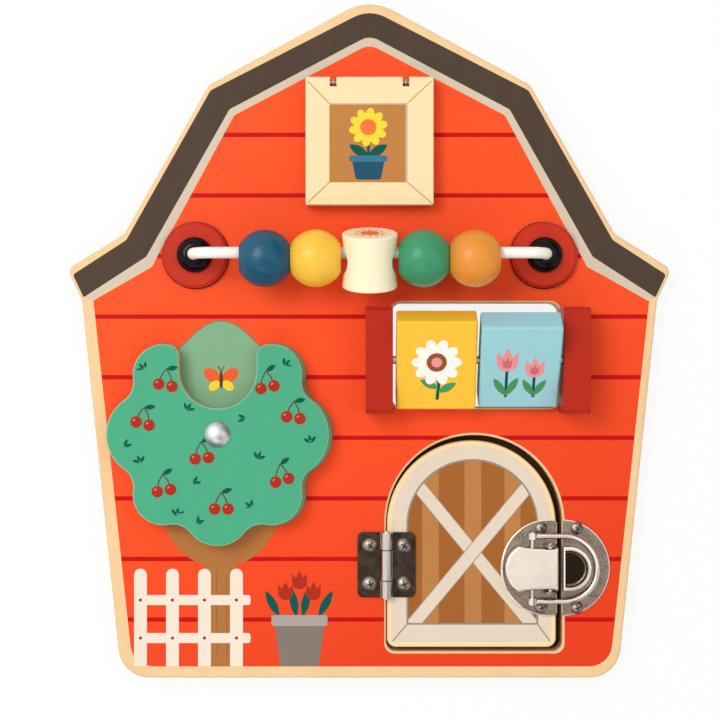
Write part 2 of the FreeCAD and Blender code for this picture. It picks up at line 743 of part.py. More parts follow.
def bracket(name, side):
    """A wooden bearing block; the axle sits in a blind bore on its inner side."""
    body = new_body(name)
    half = s.bracket_width / 2
    sketch = sketch_on(body, "XY_Plane")
    plain_box(sketch, -half, half, -s.bracket_length / 2, s.bracket_length / 2)
    height = axle_lift + s.bracket_cover
    pad(body, sketch, height)
    soften(body, "Chamfer", s.bracket_chamfer, lambda edge: along("X")(edge) and at(edge, "Z", height))
    soften(body, "Fillet", s.bracket_edge, lambda edge: along("Y")(edge) and at(edge, "Z", height))
    inner = -side * half
    bore = sketch_on(body, "YZ_Plane", inner)
    ring(bore, 0, axle_lift, s.axle_radius + s.seat_gap)
    pocket(body, bore, s.axle_seat, upward=side > 0)
    pilots = sketch_on(body, "XY_Plane")
    for end in (-1, 1):
        ring(pilots, 0, end * s.bracket_screw_half, s.long_screw_radius + s.seat_gap)
    pocket(body, pilots, s.bracket_screw_length - face, upward=True)
    place(body, s.flip_x + side * bracket_x, axle_y, face)


def flip_block(name, side, tilt):
    body = new_body(name)
    half = s.block_width / 2
    sketch = sketch_on(body, "XY_Plane", -s.block_thick / 2)
    plain_box(sketch, -half, half, -s.block_length / 2, s.block_length / 2)
    pad(body, sketch, s.block_thick)
    soften(body, "Fillet", s.block_round, lambda edge: True)
    bore = sketch_on(body, "YZ_Plane", half)
    ring(bore, 0, 0, s.axle_radius + s.run_gap)
    pocket(body, bore, s.block_width)
    place(body, s.flip_x + side * (s.block_width + s.block_gap) / 2, axle_y, axle_z, X_WAY, tilt)


bracket("bracket_left", -1)
bracket("bracket_right", 1)
axle_length = bracket_span + s.axle_seat * 2
cylinder("flip_axle", s.axle_radius, axle_length, s.flip_x - axle_length / 2, axle_y, axle_z, Y_WAY, 90)
flip_block("flip_block_yellow", -1, s.yellow_tilt)
flip_block("flip_block_blue", 1, s.blue_tilt)
screw_group("bracket_screws", bracket_spots, sunk_screw(s.bracket_screw_length), 0)

# Tree: a lobed disc that turns on a rivet, with a notch in place of its top lobe

def polar(distance, degrees):
    angle = math.radians(degrees)
    return FreeCAD.Vector(distance * math.cos(angle), distance * math.sin(angle), 0)


def arc_edge(centre, radius, start, finish):
    """The arc from start to finish that passes nearest to the middle of their directions."""
    middle = ((start - centre).normalize() + (finish - centre).normalize()).normalize()
    return Part.Arc(start, centre + middle * radius, finish).toShape()


def touching_circle(one, one_radius, two, two_radius):
    """The outer one of the two points at the given distances from both centres."""
    gap = two - one
    along_gap = (gap.Length ** 2 + one_radius ** 2 - two_radius ** 2) / (2 * gap.Length)
    rise = math.sqrt(one_radius ** 2 - along_gap ** 2)
    foot = one + FreeCAD.Vector(gap).normalize() * along_gap
    side = FreeCAD.Vector(gap.y, -gap.x, 0).normalize() * rise
    return max(foot + side, foot - side, key=lambda point: point.Length)


def tree_outline():
    """Seven lobes joined by hollows, clockwise from right of the notch to left of it."""
    hollow = s.valley_radius.number
    diagonal = s.lobe_angle.number
    lobes = [
        (diagonal, s.corner_lobe.number), (0, s.side_lobe.number), (-diagonal, s.corner_lobe.number),
        (-90, s.end_lobe.number), (180 + diagonal, s.corner_lobe.number), (180, s.side_lobe.number),
        (180 - diagonal, s.corner_lobe.number),
    ]
    circles = [(polar(s.tree_radius.number - radius, angle), radius) for angle, radius in lobes]
    half = s.notch_half.number
    shoulder = s.notch_shoulder.number
    first, radius = circles[0]
    rise = math.sqrt((radius - shoulder) ** 2 - (half + shoulder - first.x) ** 2)
    corner = FreeCAD.Vector(half + shoulder, first.y + rise, 0)
    touch = first + (corner - first).normalize() * radius
    mirror = lambda point: FreeCAD.Vector(-point.x, point.y, 0)
    edges = []
    start = touch
    for (centre, radius), (after, after_radius) in zip(circles, circles[1:]):
        dent = touching_circle(centre, radius + hollow, after, after_radius + hollow)
        leave = centre + (dent - centre).normalize() * radius
        enter = after + (dent - after).normalize() * after_radius
        edges.append(arc_edge(centre, radius, start, leave))
        edges.append(arc_edge(dent, hollow, leave, enter))
        start = enter
    last, radius = circles[-1]
    edges.append(arc_edge(last, radius, start, mirror(touch)))
    side_top = FreeCAD.Vector(half, corner.y, 0)
    side_foot = FreeCAD.Vector(half, s.notch_floor.number + half, 0)
    floor = FreeCAD.Vector(0, s.notch_floor.number, 0)
    edges.append(arc_edge(mirror(corner), shoulder, mirror(touch), mirror(side_top)))
    edges.append(Part.LineSegment(mirror(side_top), mirror(side_foot)).toShape())
    edges.append(Part.Arc(mirror(side_foot), floor, side_foot).toShape())
    edges.append(Part.LineSegment(side_foot, side_top).toShape())
    edges.append(arc_edge(corner, shoulder, side_top, touch))
    return Part.Wire(edges)


def tree_disc():
    thick = s.tree_thick.number
    blank = Part.Face(tree_outline()).extrude(Z_WAY * thick)
    rims = [edge for edge in blank.Edges if at(edge, "Z", 0) or at(edge, "Z", thick)]
    solid = blank.makeChamfer(s.tree_edge.number, rims)
    bore = Part.makeCylinder(s.rivet_radius.number + s.run_gap.number, thick)
    piece = doc.addObject("Part::Feature", "tree_disc")
    piece.Shape = solid.cut(bore)
    place(piece, tree_x, tree_y, tree_z)
    keep(piece, "tree_disc")


tree_disc()
shank_low = s.burr_recess / 4 - tree_z
cap_low = s.tree_thick + s.rivet_play
cap_dome = (s.rivet_cap_radius * s.rivet_cap_radius + s.rivet_cap_height * s.rivet_cap_height) / (
    s.rivet_cap_height * 2)
rivet = turned("tree_rivet", [
    (0, shank_low), (s.rivet_radius, shank_low), (s.rivet_radius, cap_low), (s.rivet_cap_radius, cap_low),
    (0, cap_low + s.rivet_cap_height, cap_dome, 1),
])
place(rivet, tree_x, tree_y, tree_z)
washer_bore = s.rivet_radius + s.seat_gap
spacer = turned("tree_spacer", [
    (washer_bore, 0), (s.spacer_radius, 0), (s.spacer_radius, s.tree_gap), (washer_bore, s.tree_gap),
])
place(spacer, tree_x, tree_y, face)
burr_thick = s.burr_recess / 2
burr = turned("rivet_washer", [
    (washer_bore, -burr_thick), (s.burr_radius, -burr_thick), (s.burr_radius, 0), (washer_bore, 0),
])
place(burr, tree_x, tree_y, s.burr_recess)

# Shutter: a square flap that lifts on a wire through two screw eyes

shutter = new_body("shutter")
half_shutter = s.shutter_width / 2
sketch = sketch_on(shutter, "XY_Plane")
shutter_top = s.shutter_pin_drop
shutter_low = s.shutter_pin_drop - s.shutter_height
plain_box(sketch, -half_shutter, half_shutter, shutter_low, shutter_top)
pad(shutter, sketch, s.shutter_thick)
soften(shutter, "Fillet", s.shutter_top_round, lambda edge: along("X")(edge) and at(edge, "Y", shutter_top))
soften(shutter, "Fillet", s.shutter_round,
       upright((-half_shutter, shutter_low), (half_shutter, shutter_low)))
soften(shutter, "Fillet", s.shutter_edge,
       lambda edge: at(edge, "Z", s.shutter_thick) and span(edge, "Y")[1] < shutter_top.number - 2.1)
notches = sketch_on(shutter, "XY_Plane", s.shutter_thick)
for side in (-1, 1):
    middle = side * s.eye_reach
    plain_box(notches, middle - s.eye_notch / 2, middle + s.eye_notch / 2,
              shutter_top - s.eye_notch_depth, shutter_top + 1)
pocket(shutter, notches, s.shutter_thick)
pin_bore = sketch_on(shutter, "YZ_Plane", half_shutter)
ring(pin_bore, 0, s.shutter_thick / 2, s.shutter_pin_radius + s.run_gap)
pocket(shutter, pin_bore, s.shutter_width)
place(shutter, 0, shutter_pin_y, shutter_z)

pin_length = s.shutter_width - s.shutter_pin_inset * 2
cylinder("shutter_pin", s.shutter_pin_radius, pin_length, -pin_length / 2, shutter_pin_y, shutter_pin_z,
         Y_WAY, 90)

eyes = []
for side in (-1, 1):
    loop = doc.addObject("Part::Torus", "eye_ring")
    bind(loop, "Radius1", eye_ring)
    bind(loop, "Radius2", s.eye_wire)
    place(loop, side * s.eye_reach, shutter_pin_y, shutter_pin_z, Y_WAY, 90)
    shank = doc.addObject("Part::Cylinder", "eye_shank")
    bind(shank, "Radius", s.eye_shank)
    bind(shank, "Height", shutter_pin_z - eye_ring - face + s.eye_depth)
    place(shank, side * s.eye_reach, shutter_pin_y, face - s.eye_depth)
    eye = doc.addObject("Part::Fuse", "screw_eye")
    eye.Base = loop
    eye.Tool = shank
    eyes.append(eye)
eye_pair = doc.addObject("Part::Compound", "shutter_eyes")
eye_pair.Links = eyes
keep(eye_pair, "shutter_eyes")

# Door with a butt hinge

door = new_body("door")
door_thick = face - door_low
sketch = sketch_on(door, "XY_Plane", door_low)
arch(sketch, door_left, door_right, door_foot, door_head, s.door_round)
pad(door, sketch, door_thick)
soften(door, "Chamfer", s.door_edge, lambda edge: at(edge, "Z", face))
cut_holes(door, hinge_door_spots + base_spots, s.screw_radius + s.seat_gap, face, s.screw_length)


def hinge_leaf(name, side, barrels, spots):
    """A leaf on one side of the axis with its knuckles, (start, end) along Y from the centre."""
    body = new_body(name)
    half = s.hinge_height / 2
    inner = side * (s.knuckle_radius + 0.3)
    outer = side * s.leaf_width
    low = -s.knuckle_radius - s.knuckle_lift
    sketch = sketch_on(body, "XY_Plane", low)
    draw(sketch, [(inner, -half), (outer, -half), (outer, half), (inner, half)])
    pad(body, sketch, s.leaf_thick)
    soften(body, "Fillet", s.leaf_round, upright((outer, -half), (outer, half)))
    soften(body, "Fillet", s.leaf_edge, lambda edge: at(edge, "Z", low + s.leaf_thick))
    for start, end in barrels:
        tab = sketch_on(body, "XY_Plane", low)
        draw(tab, [(side * 0.3, start), (inner + side * 0.5, start), (inner + side * 0.5, end),
                   (side * 0.3, end)])
        pad(body, tab, s.leaf_thick)
        barrel = sketch_on(body, "XZ_Plane", -end)
        ring(barrel, 0, 0, s.knuckle_radius)
        pad(body, barrel, end - start)
    bore = sketch_on(body, "XZ_Plane", half)
    ring(bore, 0, 0, s.hinge_pin_radius + s.run_gap)
    pocket(body, bore, s.hinge_height)
    fixings = sketch_on(body, "XY_Plane", low + s.leaf_thick)
    for x, y in spots:
        ring(fixings, x - s.hinge_x, y - hinge_y, s.screw_radius + s.seat_gap)
    pocket(body, fixings, s.leaf_thick)
    place(body, s.hinge_x, hinge_y, hinge_z)


half_hinge = s.hinge_height / 2
half_middle = s.knuckle_middle / 2
outer_start = half_middle + s.knuckle_gap
hinge_leaf("hinge_leaf_fixed", -1, [(-half_hinge, -outer_start), (outer_start, half_hinge)],
           hinge_fixed_spots)
hinge_leaf("hinge_leaf_door", 1, [(-half_middle, half_middle)], hinge_door_spots)
hinge_pin_length = s.hinge_height + s.hinge_pin_extra * 2
cylinder("hinge_pin", s.hinge_pin_radius, hinge_pin_length, s.hinge_x, hinge_y + hinge_pin_length / 2,
         hinge_z, X_WAY, 90)
hinge_screw = domed_screw(s.rivet_head_radius, s.screw_length)
screw_group("hinge_screws_fixed", hinge_fixed_spots, hinge_screw, face + s.leaf_thick)
screw_group("hinge_screws_door", hinge_door_spots, hinge_screw, face + s.leaf_thick)

# Toggle latch: base, lever and loop ride on the door, the keeper is on the board

def plate_holes(body, edge_x, spots):
    sketch = sketch_on(body, "XY_Plane", s.plate_thick)
    for x, y in spots:
        ring(sketch, x - edge_x, y - latch_y, s.screw_radius + s.seat_gap)
    pocket(body, sketch, s.plate_thick)


base = new_body("latch_base")
arc_x = -s.base_shift
chord = root(s.plate_radius * s.plate_radius - s.base_shift * s.base_shift)
sketch = sketch_on(base, "XY_Plane")
draw(sketch, [
    (0, chord), (arc_x, s.plate_radius, s.plate_radius, 1),
    (arc_x - s.plate_radius, 0, s.plate_radius, 1), (arc_x, -s.plate_radius, s.plate_radius, 1),
    (0, -chord, s.plate_radius, 1),
])
pad(base, sketch, s.plate_thick)
soften(base, "Fillet", s.plate_round, upright((0, -chord), (0, chord)))
soften(base, "Fillet", s.plate_edge, lambda edge: at(edge, "Z", s.plate_thick))
rim_inner = s.plate_radius - s.rim_width
rim_cos, rim_sin = cosine(s.rim_span), sine(s.rim_span)
rim = sketch_on(base, "XY_Plane")
draw(rim, [
    (arc_x - s.plate_radius * rim_cos, s.plate_radius * rim_sin),
    (arc_x - s.plate_radius, 0, s.plate_radius, 1),
    (arc_x - s.plate_radius * rim_cos, -s.plate_radius * rim_sin, s.plate_radius, 1),
    (arc_x - rim_inner * rim_cos, -rim_inner * rim_sin),
    (arc_x - rim_inner, 0, rim_inner, -1),
    (arc_x - rim_inner * rim_cos, rim_inner * rim_sin, rim_inner, -1),
])
pad(base, rim, s.plate_thick + s.rim_height)
soften(base, "Fillet", s.plate_edge, lambda edge: at(edge, "Z", s.plate_thick + s.rim_height))
ear_round = s.pivot_inset - 0.6
for outer_face in (ear_inner + s.ear_thick, -ear_inner):
    ear = sketch_on(base, "XZ_Plane", -outer_face)
    draw(ear, [
        (ear_round - s.pivot_inset, 0), (ear_round - s.pivot_inset, s.pivot_lift),
        (-s.pivot_inset, s.pivot_lift + ear_round, ear_round, 1),
        (-s.pivot_inset - ear_round, s.pivot_lift, ear_round, 1), (-s.pivot_inset - ear_round, 0),
    ])
    pad(base, ear, s.ear_thick)
ear_bore = sketch_on(base, "XZ_Plane", s.plate_radius)
ring(ear_bore, -s.pivot_inset, s.pivot_lift, s.lever_pin_radius + s.seat_gap)
pocket(base, ear_bore, s.plate_radius * 2)
plate_holes(base, base_edge, base_spots)
place(base, base_edge, latch_y, face)

keeper = new_body("latch_keeper")
sketch = sketch_on(keeper, "XY_Plane")
draw(sketch, [
    (0, -s.plate_radius), (s.plate_radius, 0, s.plate_radius, 1), (0, s.plate_radius, s.plate_radius, 1),
])
pad(keeper, sketch, s.plate_thick)
soften(keeper, "Fillet", s.plate_round, upright((0, -s.plate_radius), (0, s.plate_radius)))
soften(keeper, "Fillet", s.plate_edge, lambda edge: at(edge, "Z", s.plate_thick))
foot = sketch_on(keeper, "XY_Plane", s.plate_thick)
half_round(foot, s.hook_inset, s.hook_centre, s.hook_half + s.hook_foot)
pad(keeper, foot, s.hook_step)
hook = sketch_on(keeper, "XY_Plane", s.plate_thick)
half_round(hook, s.hook_inset, s.hook_centre, s.hook_half)
pad(keeper, hook, s.hook_height)
hook_top = s.plate_thick + s.hook_height
soften(keeper, "Fillet", s.hook_round, lambda edge: at(edge, "Z", hook_top))
dish = sketch_on(keeper, "XY_Plane", hook_top)
half_round(dish, s.hook_inset + s.hook_lip, s.hook_centre, s.hook_half - s.hook_rim)
pocket(keeper, dish, s.hook_dish)
soften(keeper, "Fillet", s.dish_round, lambda edge: at(edge, "Z", hook_top - s.hook_dish))
plate_holes(keeper, keeper_edge, keeper_spots)
place(keeper, keeper_edge, latch_y, face)

lever = new_body("latch_lever")
bow_x = s.lever_bow - s.lever_length
bow = (lever_finger_half * lever_finger_half + s.lever_bow * s.lever_bow) / (s.lever_bow * 2)
waist = s.lever_length * 2.4
sketch = sketch_on(lever, "XY_Plane", s.lever_top - s.lever_depth)
draw(sketch, [
    (s.lever_nose, s.lever_half), (bow_x, lever_finger_half, waist, -1),
    (-s.lever_length, 0, bow, 1), (bow_x, -lever_finger_half, bow, 1),
    (s.lever_nose, -s.lever_half, waist, -1),
])
pad(lever, sketch, s.lever_depth)
low = s.lever_top - s.lever_depth
soften(lever, "Fillet", s.lever_sheet * 0.8, lambda edge: at(edge, "Z", s.lever_top))
soften(lever, "Fillet", s.lever_depth * 0.55, lambda edge: at(edge, "Z", low) and at(edge, "X", s.lever_nose))
hollow = sketch_on(lever, "XY_Plane", low)
cheek = s.lever_half - s.lever_sheet
plain_box(hollow, bow_x, s.lever_nose - s.lever_sheet, -cheek, cheek)
pocket(lever, hollow, s.lever_depth - s.lever_sheet, upward=True)
pin_bores = sketch_on(lever, "XZ_Plane", s.plate_radius)
ring(pin_bores, 0, 0, s.lever_pin_radius + s.run_gap)
ring(pin_bores, -s.loop_arm, -s.loop_drop, s.loop_pin_radius + s.run_gap)
pocket(lever, pin_bores, s.plate_radius * 2)
place(lever, lever_x, latch_y, lever_z)

lever_pin_length = (ear_inner + s.ear_thick + s.ear_gap) * 2
cylinder("lever_pin", s.lever_pin_radius, lever_pin_length, lever_x, latch_y + lever_pin_length / 2,
         lever_z, X_WAY, 90)

loop = new_body("latch_loop")
route = sketch_on(loop, "XY_Plane")
draw(route, [
    (0, -s.loop_half), (s.loop_leg, -s.loop_half), (s.loop_leg + s.loop_half, 0, s.loop_half, 1),
    (s.loop_leg, s.loop_half, s.loop_half, 1), (0, s.loop_half),
], closed=False)
section = sketch_on(loop, "YZ_Plane")
ring(section, -s.loop_half, 0, s.loop_wire)
pipe = loop.newObject("PartDesign::AdditivePipe", "Pipe")
pipe.Profile = section
pipe.Spine = (route, [])
doc.recompute()
for outer_face in (s.loop_half + s.loop_eye_width / 2, -s.loop_half + s.loop_eye_width / 2):
    eye = sketch_on(loop, "XZ_Plane", -outer_face)
    ring(eye, 0, 0, s.loop_eye)
    pad(loop, eye, s.loop_eye_width)
eye_bore = sketch_on(loop, "XZ_Plane", s.loop_half * 2)
ring(eye_bore, 0, 0, s.loop_pin_radius + s.seat_gap)
pocket(loop, eye_bore, s.loop_half * 4)
place(loop, loop_x, latch_y, loop_z)

loop_pin_length = (s.loop_half + s.loop_eye_width / 2) * 2 + 1
cylinder("loop_pin", s.loop_pin_radius, loop_pin_length, loop_x, latch_y + loop_pin_length / 2,
         loop_z, X_WAY, 90)
latch_screw = domed_screw(s.round_head_radius, s.screw_length)
screw_group("latch_screws", base_spots, latch_screw, plate_top)
screw_group("keeper_screws", keeper_spots, latch_screw, plate_top)

# Check everything, then write one file per piece

doc.recompute()
for item in doc.Objects:
    if "Invalid" in item.State or "Error" in item.State:
        raise ValueError(f"{item.Label} failed: {item.State}")
for piece in pieces:
    if piece.Shape.isNull() or not piece.Shape.isValid() or not piece.Shape.Solids:
        raise ValueError(f"{piece.Label} has no valid solid")
os.makedirs("parts", exist_ok=True)
for piece in pieces:
    piece.Shape.exportStep(f"parts/{piece.Label}.step")
print(len(pieces), "pieces written")
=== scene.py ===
"""Looks of the wooden busy board: its prints, lacquers, plywood, metal fittings, floor and light."""
import json
import math

import bmesh
import bpy
from mathutils import Matrix, Vector


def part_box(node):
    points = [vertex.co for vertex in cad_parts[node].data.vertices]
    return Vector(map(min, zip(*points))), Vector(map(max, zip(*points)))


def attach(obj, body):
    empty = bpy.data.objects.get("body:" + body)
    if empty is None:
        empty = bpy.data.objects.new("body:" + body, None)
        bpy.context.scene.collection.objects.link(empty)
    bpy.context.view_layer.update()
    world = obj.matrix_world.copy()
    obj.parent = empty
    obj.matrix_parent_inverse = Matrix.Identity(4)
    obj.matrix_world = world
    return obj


MM = 0.001

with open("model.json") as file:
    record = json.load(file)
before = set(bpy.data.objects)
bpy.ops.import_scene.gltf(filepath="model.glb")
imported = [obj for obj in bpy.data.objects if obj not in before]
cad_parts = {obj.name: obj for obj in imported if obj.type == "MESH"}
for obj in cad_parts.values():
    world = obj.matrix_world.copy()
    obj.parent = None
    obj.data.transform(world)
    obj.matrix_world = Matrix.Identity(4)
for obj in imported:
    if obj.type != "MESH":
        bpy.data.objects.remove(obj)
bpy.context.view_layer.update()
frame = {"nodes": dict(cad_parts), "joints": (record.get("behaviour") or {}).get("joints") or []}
nodes = frame["nodes"]

# Places taken from the frame, in metres


def middle(node):
    low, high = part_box(node)
    return (low + high) / 2


def joint_place(name):
    return Vector(next(joint["pos_m"] for joint in frame["joints"] if joint["name"] == name))


FACE_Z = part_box("front_panel")[1].z
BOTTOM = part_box("front_panel")[0].y
TREE = joint_place("tree_spin")
TREE_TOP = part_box("tree_disc")[1].z
DOOR_LOW, DOOR_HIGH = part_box("door")
SHUTTER_LOW, SHUTTER_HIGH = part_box("shutter")
HINGE = joint_place("door_swing")
AXLE = joint_place("flip_yellow_spin")

# Camera, at the photograph's viewing angle: 0.5 mm of the board's face to a pixel

PHOTO_SIDE = 720
PHOTO_SCALE = 0.5 * MM
CAMERA_RISE = 800 * MM
SENSOR = 36.0

camera_data = bpy.data.cameras.new("camera")
camera_data.sensor_width = SENSOR
camera_data.lens = SENSOR * CAMERA_RISE / (PHOTO_SIDE * PHOTO_SCALE)
camera_data.clip_start = 0.01
camera = bpy.data.objects.new("camera", camera_data)
camera.location = (-4.75 * MM, -9.5 * MM, FACE_Z + CAMERA_RISE)
bpy.context.scene.collection.objects.link(camera)
bpy.context.scene.camera = camera

# Colours, written as they look on the screen


def tint(red, green, blue):
    """A screen colour, 0 to 255, as the linear colour that shaders take."""
    linear = []
    for part in (red, green, blue):
        part /= 255
        linear.append(part / 12.92 if part <= 0.04045 else ((part + 0.055) / 1.055) ** 2.4)
    return (*linear, 1.0)


def shade(colour, factor):
    return (*[min(part * factor, 1.0) for part in colour[:3]], 1.0)


BARN_RED = tint(252, 86, 38)
PLANK_LINE = tint(194, 2, 2)
ROOF_BROWN = tint(82, 64, 51)
TRIM_BEIGE = tint(209, 194, 171)
CREAM = tint(248, 221, 172)
BIRCH = tint(250, 216, 164)
BIRCH_DARK = tint(214, 170, 116)
TREE_GREEN = tint(74, 168, 128)
CROWN_GREEN = tint(130, 174, 136)
LEAF_GREEN = tint(0, 84, 74)
BARK = tint(175, 114, 58)
CHERRY_RED = tint(170, 44, 26)
FENCE_CREAM = tint(240, 223, 204)
PAIL_GREY = tint(130, 118, 109)
DOOR_CREAM = tint(226, 208, 187)
DOOR_LINE = tint(150, 140, 126)
PLANK_DARK = tint(164, 98, 42)
PLANK_LIGHT = tint(188, 126, 70)
SUN_ORANGE = tint(240, 120, 52)

# Materials


class Shader:
    """One material, with short ways to add texture nodes to it."""

    def __init__(self, name, colour, rough=0.5, metal=0.0, level=0.5):
        self.material = bpy.data.materials.new(name)
        self.material.use_nodes = True
        self.tree = self.material.node_tree
        self.surface = self.tree.nodes["Principled BSDF"]
        self.surface.inputs["Base Color"].default_value = colour
        self.surface.inputs["Roughness"].default_value = rough
        self.surface.inputs["Metallic"].default_value = metal
        self.surface.inputs["Specular IOR Level"].default_value = level
        self.place = self.tree.nodes.new("ShaderNodeTexCoord").outputs["Object"]
        self.normal = self.place.node.outputs["Normal"]

    def node(self, kind, inputs=(), **settings):
        made = self.tree.nodes.new(kind)
        for name, value in settings.items():
            setattr(made, name, value)
        for slot, value in dict(inputs).items():
            if isinstance(value, bpy.types.NodeSocket):
                self.tree.links.new(value, made.inputs[slot])
            else:
                made.inputs[slot].default_value = value
        return made

    def stretched(self, stretch):
        return self.node("ShaderNodeMapping", {"Vector": self.place, "Scale": stretch}).outputs["Vector"]

    def noise(self, scale, stretch=(1, 1, 1), detail=3.0, rough=0.5):
        """Noise with about scale features to a metre, before stretching."""
        texture = self.node("ShaderNodeTexNoise", {
            "Vector": self.stretched(stretch), "Scale": scale, "Detail": detail, "Roughness": rough,
        })
        return texture.outputs["Fac"]

    def part(self, which, vector=None):
        split = self.node("ShaderNodeSeparateXYZ", {"Vector": self.place if vector is None else vector})
        return split.outputs[which]

    def maths(self, operation, *values):
        return self.node("ShaderNodeMath", dict(enumerate(values)), operation=operation).outputs[0]

    def within(self, value, low, high, soft):
        """1 where low < value < high, with soft sides."""
        rise = self.fade(value, low - soft, low + soft)
        fall = self.fade(value, high + soft, high - soft)
        return self.maths("MULTIPLY", rise, fall)

    def fade(self, value, zero, one):
        """0 at one value and 1 at the other, smooth between them."""
        low, high, start, end = (zero, one, 0.0, 1.0) if zero < one else (one, zero, 1.0, 0.0)
        made = self.node("ShaderNodeMapRange", {
            "Value": value, "From Min": low, "From Max": high, "To Min": start, "To Max": end,
        }, interpolation_type="SMOOTHSTEP")
        return made.outputs["Result"]

    def spread(self, value, low, high):
        """Turn 0 to 1 into low to high."""
        made = self.node("ShaderNodeMapRange", {"Value": value, "To Min": low, "To Max": high})
        return made.outputs["Result"]

    def mix(self, factor, one, other):
        made = self.node("ShaderNodeMix", data_type="RGBA")
        for slot, value in ((0, factor), (6, one), (7, other)):
            if isinstance(value, bpy.types.NodeSocket):
                self.tree.links.new(value, made.inputs[slot])
            else:
                made.inputs[slot].default_value = value
        return made.outputs[2]

    def set(self, name, value):
        if isinstance(value, bpy.types.NodeSocket):
            self.tree.links.new(value, self.surface.inputs[name])
        else:
            self.surface.inputs[name].default_value = value

    def bump(self, height, depth, strength=1.0):
        made = self.node("ShaderNodeBump", {"Height": height, "Distance": depth, "Strength": strength})
        self.set("Normal", made.outputs["Normal"])


def wood_grain(shader, along="Y"):
    """Fine fibres and broad figure of birch, 0 to 1, running along an axis of the frame."""
    fine = {"X": (0.05, 1, 1), "Y": (1, 0.05, 1), "Z": (1, 1, 0.05)}[along]
    broad = {"X": (0.12, 1, 1), "Y": (1, 0.12, 1), "Z": (1, 1, 0.12)}[along]
    fibres = shader.noise(1400, fine, detail=4, rough=0.65)
    figure = shader.noise(75, broad, detail=3, rough=0.55)
    return fibres, figure


def plies(shader, base):
    """Birch with darker cross plies and glue lines, stacked along Z."""
    height = shader.part("Z")
    ply = shader.maths("PINGPONG", shader.maths("DIVIDE", height, 1.5 * MM), 1.0)
    cross = shader.fade(ply, 0.42, 0.58)
    wobble = shader.noise(900, (0.2, 0.2, 1), detail=2)
    dark = shader.mix(shader.spread(wobble, 0.35, 1.0), shade(BIRCH_DARK, 0.95), shade(BIRCH_DARK, 0.6))
    return shader.mix(shader.maths("MULTIPLY", cross, 0.75), base, dark)


def plywood(name):
    """Bare sanded birch plywood, with its plies on the edges."""
    made = Shader(name, BIRCH, rough=0.55, level=0.35)
    fibres, figure = wood_grain(made)
    veneer = made.mix(made.spread(figure, 0.0, 0.55), BIRCH, shade(BIRCH_DARK, 1.05))
    veneer = made.mix(made.spread(fibres, 0.0, 0.35), veneer, shade(BIRCH_DARK, 0.9))
    upright = made.maths("ABSOLUTE", made.part("Z", made.normal))
    colour = made.mix(made.fade(upright, 0.4, 0.15), veneer, plies(made, veneer))
    made.set("Base Color", colour)
    made.set("Roughness", made.spread(fibres, 0.48, 0.64))
    made.bump(fibres, 0.05 * MM, 0.35)
    return made.material


def printed(name, colour, rough=0.46, grain=0.06, along="Y", level=0.12):
    """Satin print or lacquer over wood: fine fibres just show through it."""
    made = Shader(name, colour, rough=rough, level=level)
    fibres, figure = wood_grain(made, along)
    tone = made.mix(made.spread(figure, 0.0, 1.0), shade(colour, 1 + grain), shade(colour, 1 - grain))
    tone = made.mix(made.spread(fibres, 0.0, grain * 3), tone, shade(colour, 1 - grain * 3))
    made.set("Base Color", tone)
    made.set("Roughness", made.spread(fibres, rough - 0.05, rough + 0.07))
    made.bump(fibres, 0.03 * MM, 0.3)
    return made.material


def faced(name, face_colour, arris_tone_and_highlight):
    """Plywood whose front face is printed: the print ends at an arris in a colour of its own, a painted
    highlight where it is lighter than the print.
    """
    made = Shader(name, face_colour, rough=0.46, level=0.14)
    fibres, figure = wood_grain(made)
    front = made.mix(made.spread(figure, 0.0, 1.0), shade(face_colour, 1.05), shade(face_colour, 0.95))
    front = made.mix(made.spread(fibres, 0.0, 0.15), front, shade(face_colour, 0.85))
    veneer = made.mix(made.spread(fibres, 0.0, 0.5), BIRCH, BIRCH_DARK)
    upright = made.part("Z", made.normal)
    # The arris colour covers the chamfer round the front face; where it is lighter than the print it is a
    # painted highlight.
    side = made.mix(made.fade(upright, 0.45, 0.2), arris_tone_and_highlight, plies(made, veneer))
    made.set("Base Color", made.mix(made.fade(upright, 0.85, 0.95), side, front))
    made.set("Roughness", made.spread(fibres, 0.42, 0.54))
    made.bump(fibres, 0.03 * MM, 0.3)
    return made.material


def barn_red():
    """The red field with its evenly spaced plank lines, and painted shade that makes it a little deeper
    towards the lower right.
    """
    line_pitch = 30.29 * MM
    line_start = 103.05 * MM
    line_half = 1.1 * MM
    made = Shader("barn_red", BARN_RED, rough=0.46, level=0.12)
    fibres, figure = wood_grain(made, "X")
    height = made.part("Y")
    # Painted shade: the field's colour darkens towards the lower right along this slant.
    slant = made.maths("SUBTRACT", height, made.maths("MULTIPLY", made.part("X"), 0.45))
    deep = made.fade(slant, 40 * MM, -215 * MM)
    field = made.mix(deep, BARN_RED, tint(226, 62, 25))
    field = made.mix(made.spread(figure, 0.0, 0.25), field, tint(236, 66, 26))
    field = made.mix(made.spread(fibres, 0.0, 0.14), field, tint(222, 58, 24))
    shifted = made.maths("SUBTRACT", height, line_start)
    steps = made.maths("DIVIDE", shifted, line_pitch)
    off_line = made.maths("ABSOLUTE", made.maths("SUBTRACT", steps, made.maths("ROUND", steps)))
    wave = made.spread(made.noise(60, (1, 0, 0), detail=1), -0.1 * MM, 0.1 * MM)
    distance = made.maths("ADD", made.maths("MULTIPLY", off_line, line_pitch), wave)
    line = made.fade(distance, line_half + 0.1 * MM, line_half - 0.1 * MM)
    line = made.maths("MULTIPLY", line, made.fade(height, line_start + 12 * MM, line_start + 10 * MM))
    made.set("Base Color", made.mix(line, field, PLANK_LINE))
    made.set("Roughness", made.spread(fibres, 0.42, 0.54))
    made.bump(fibres, 0.03 * MM, 0.3)
    return made.material


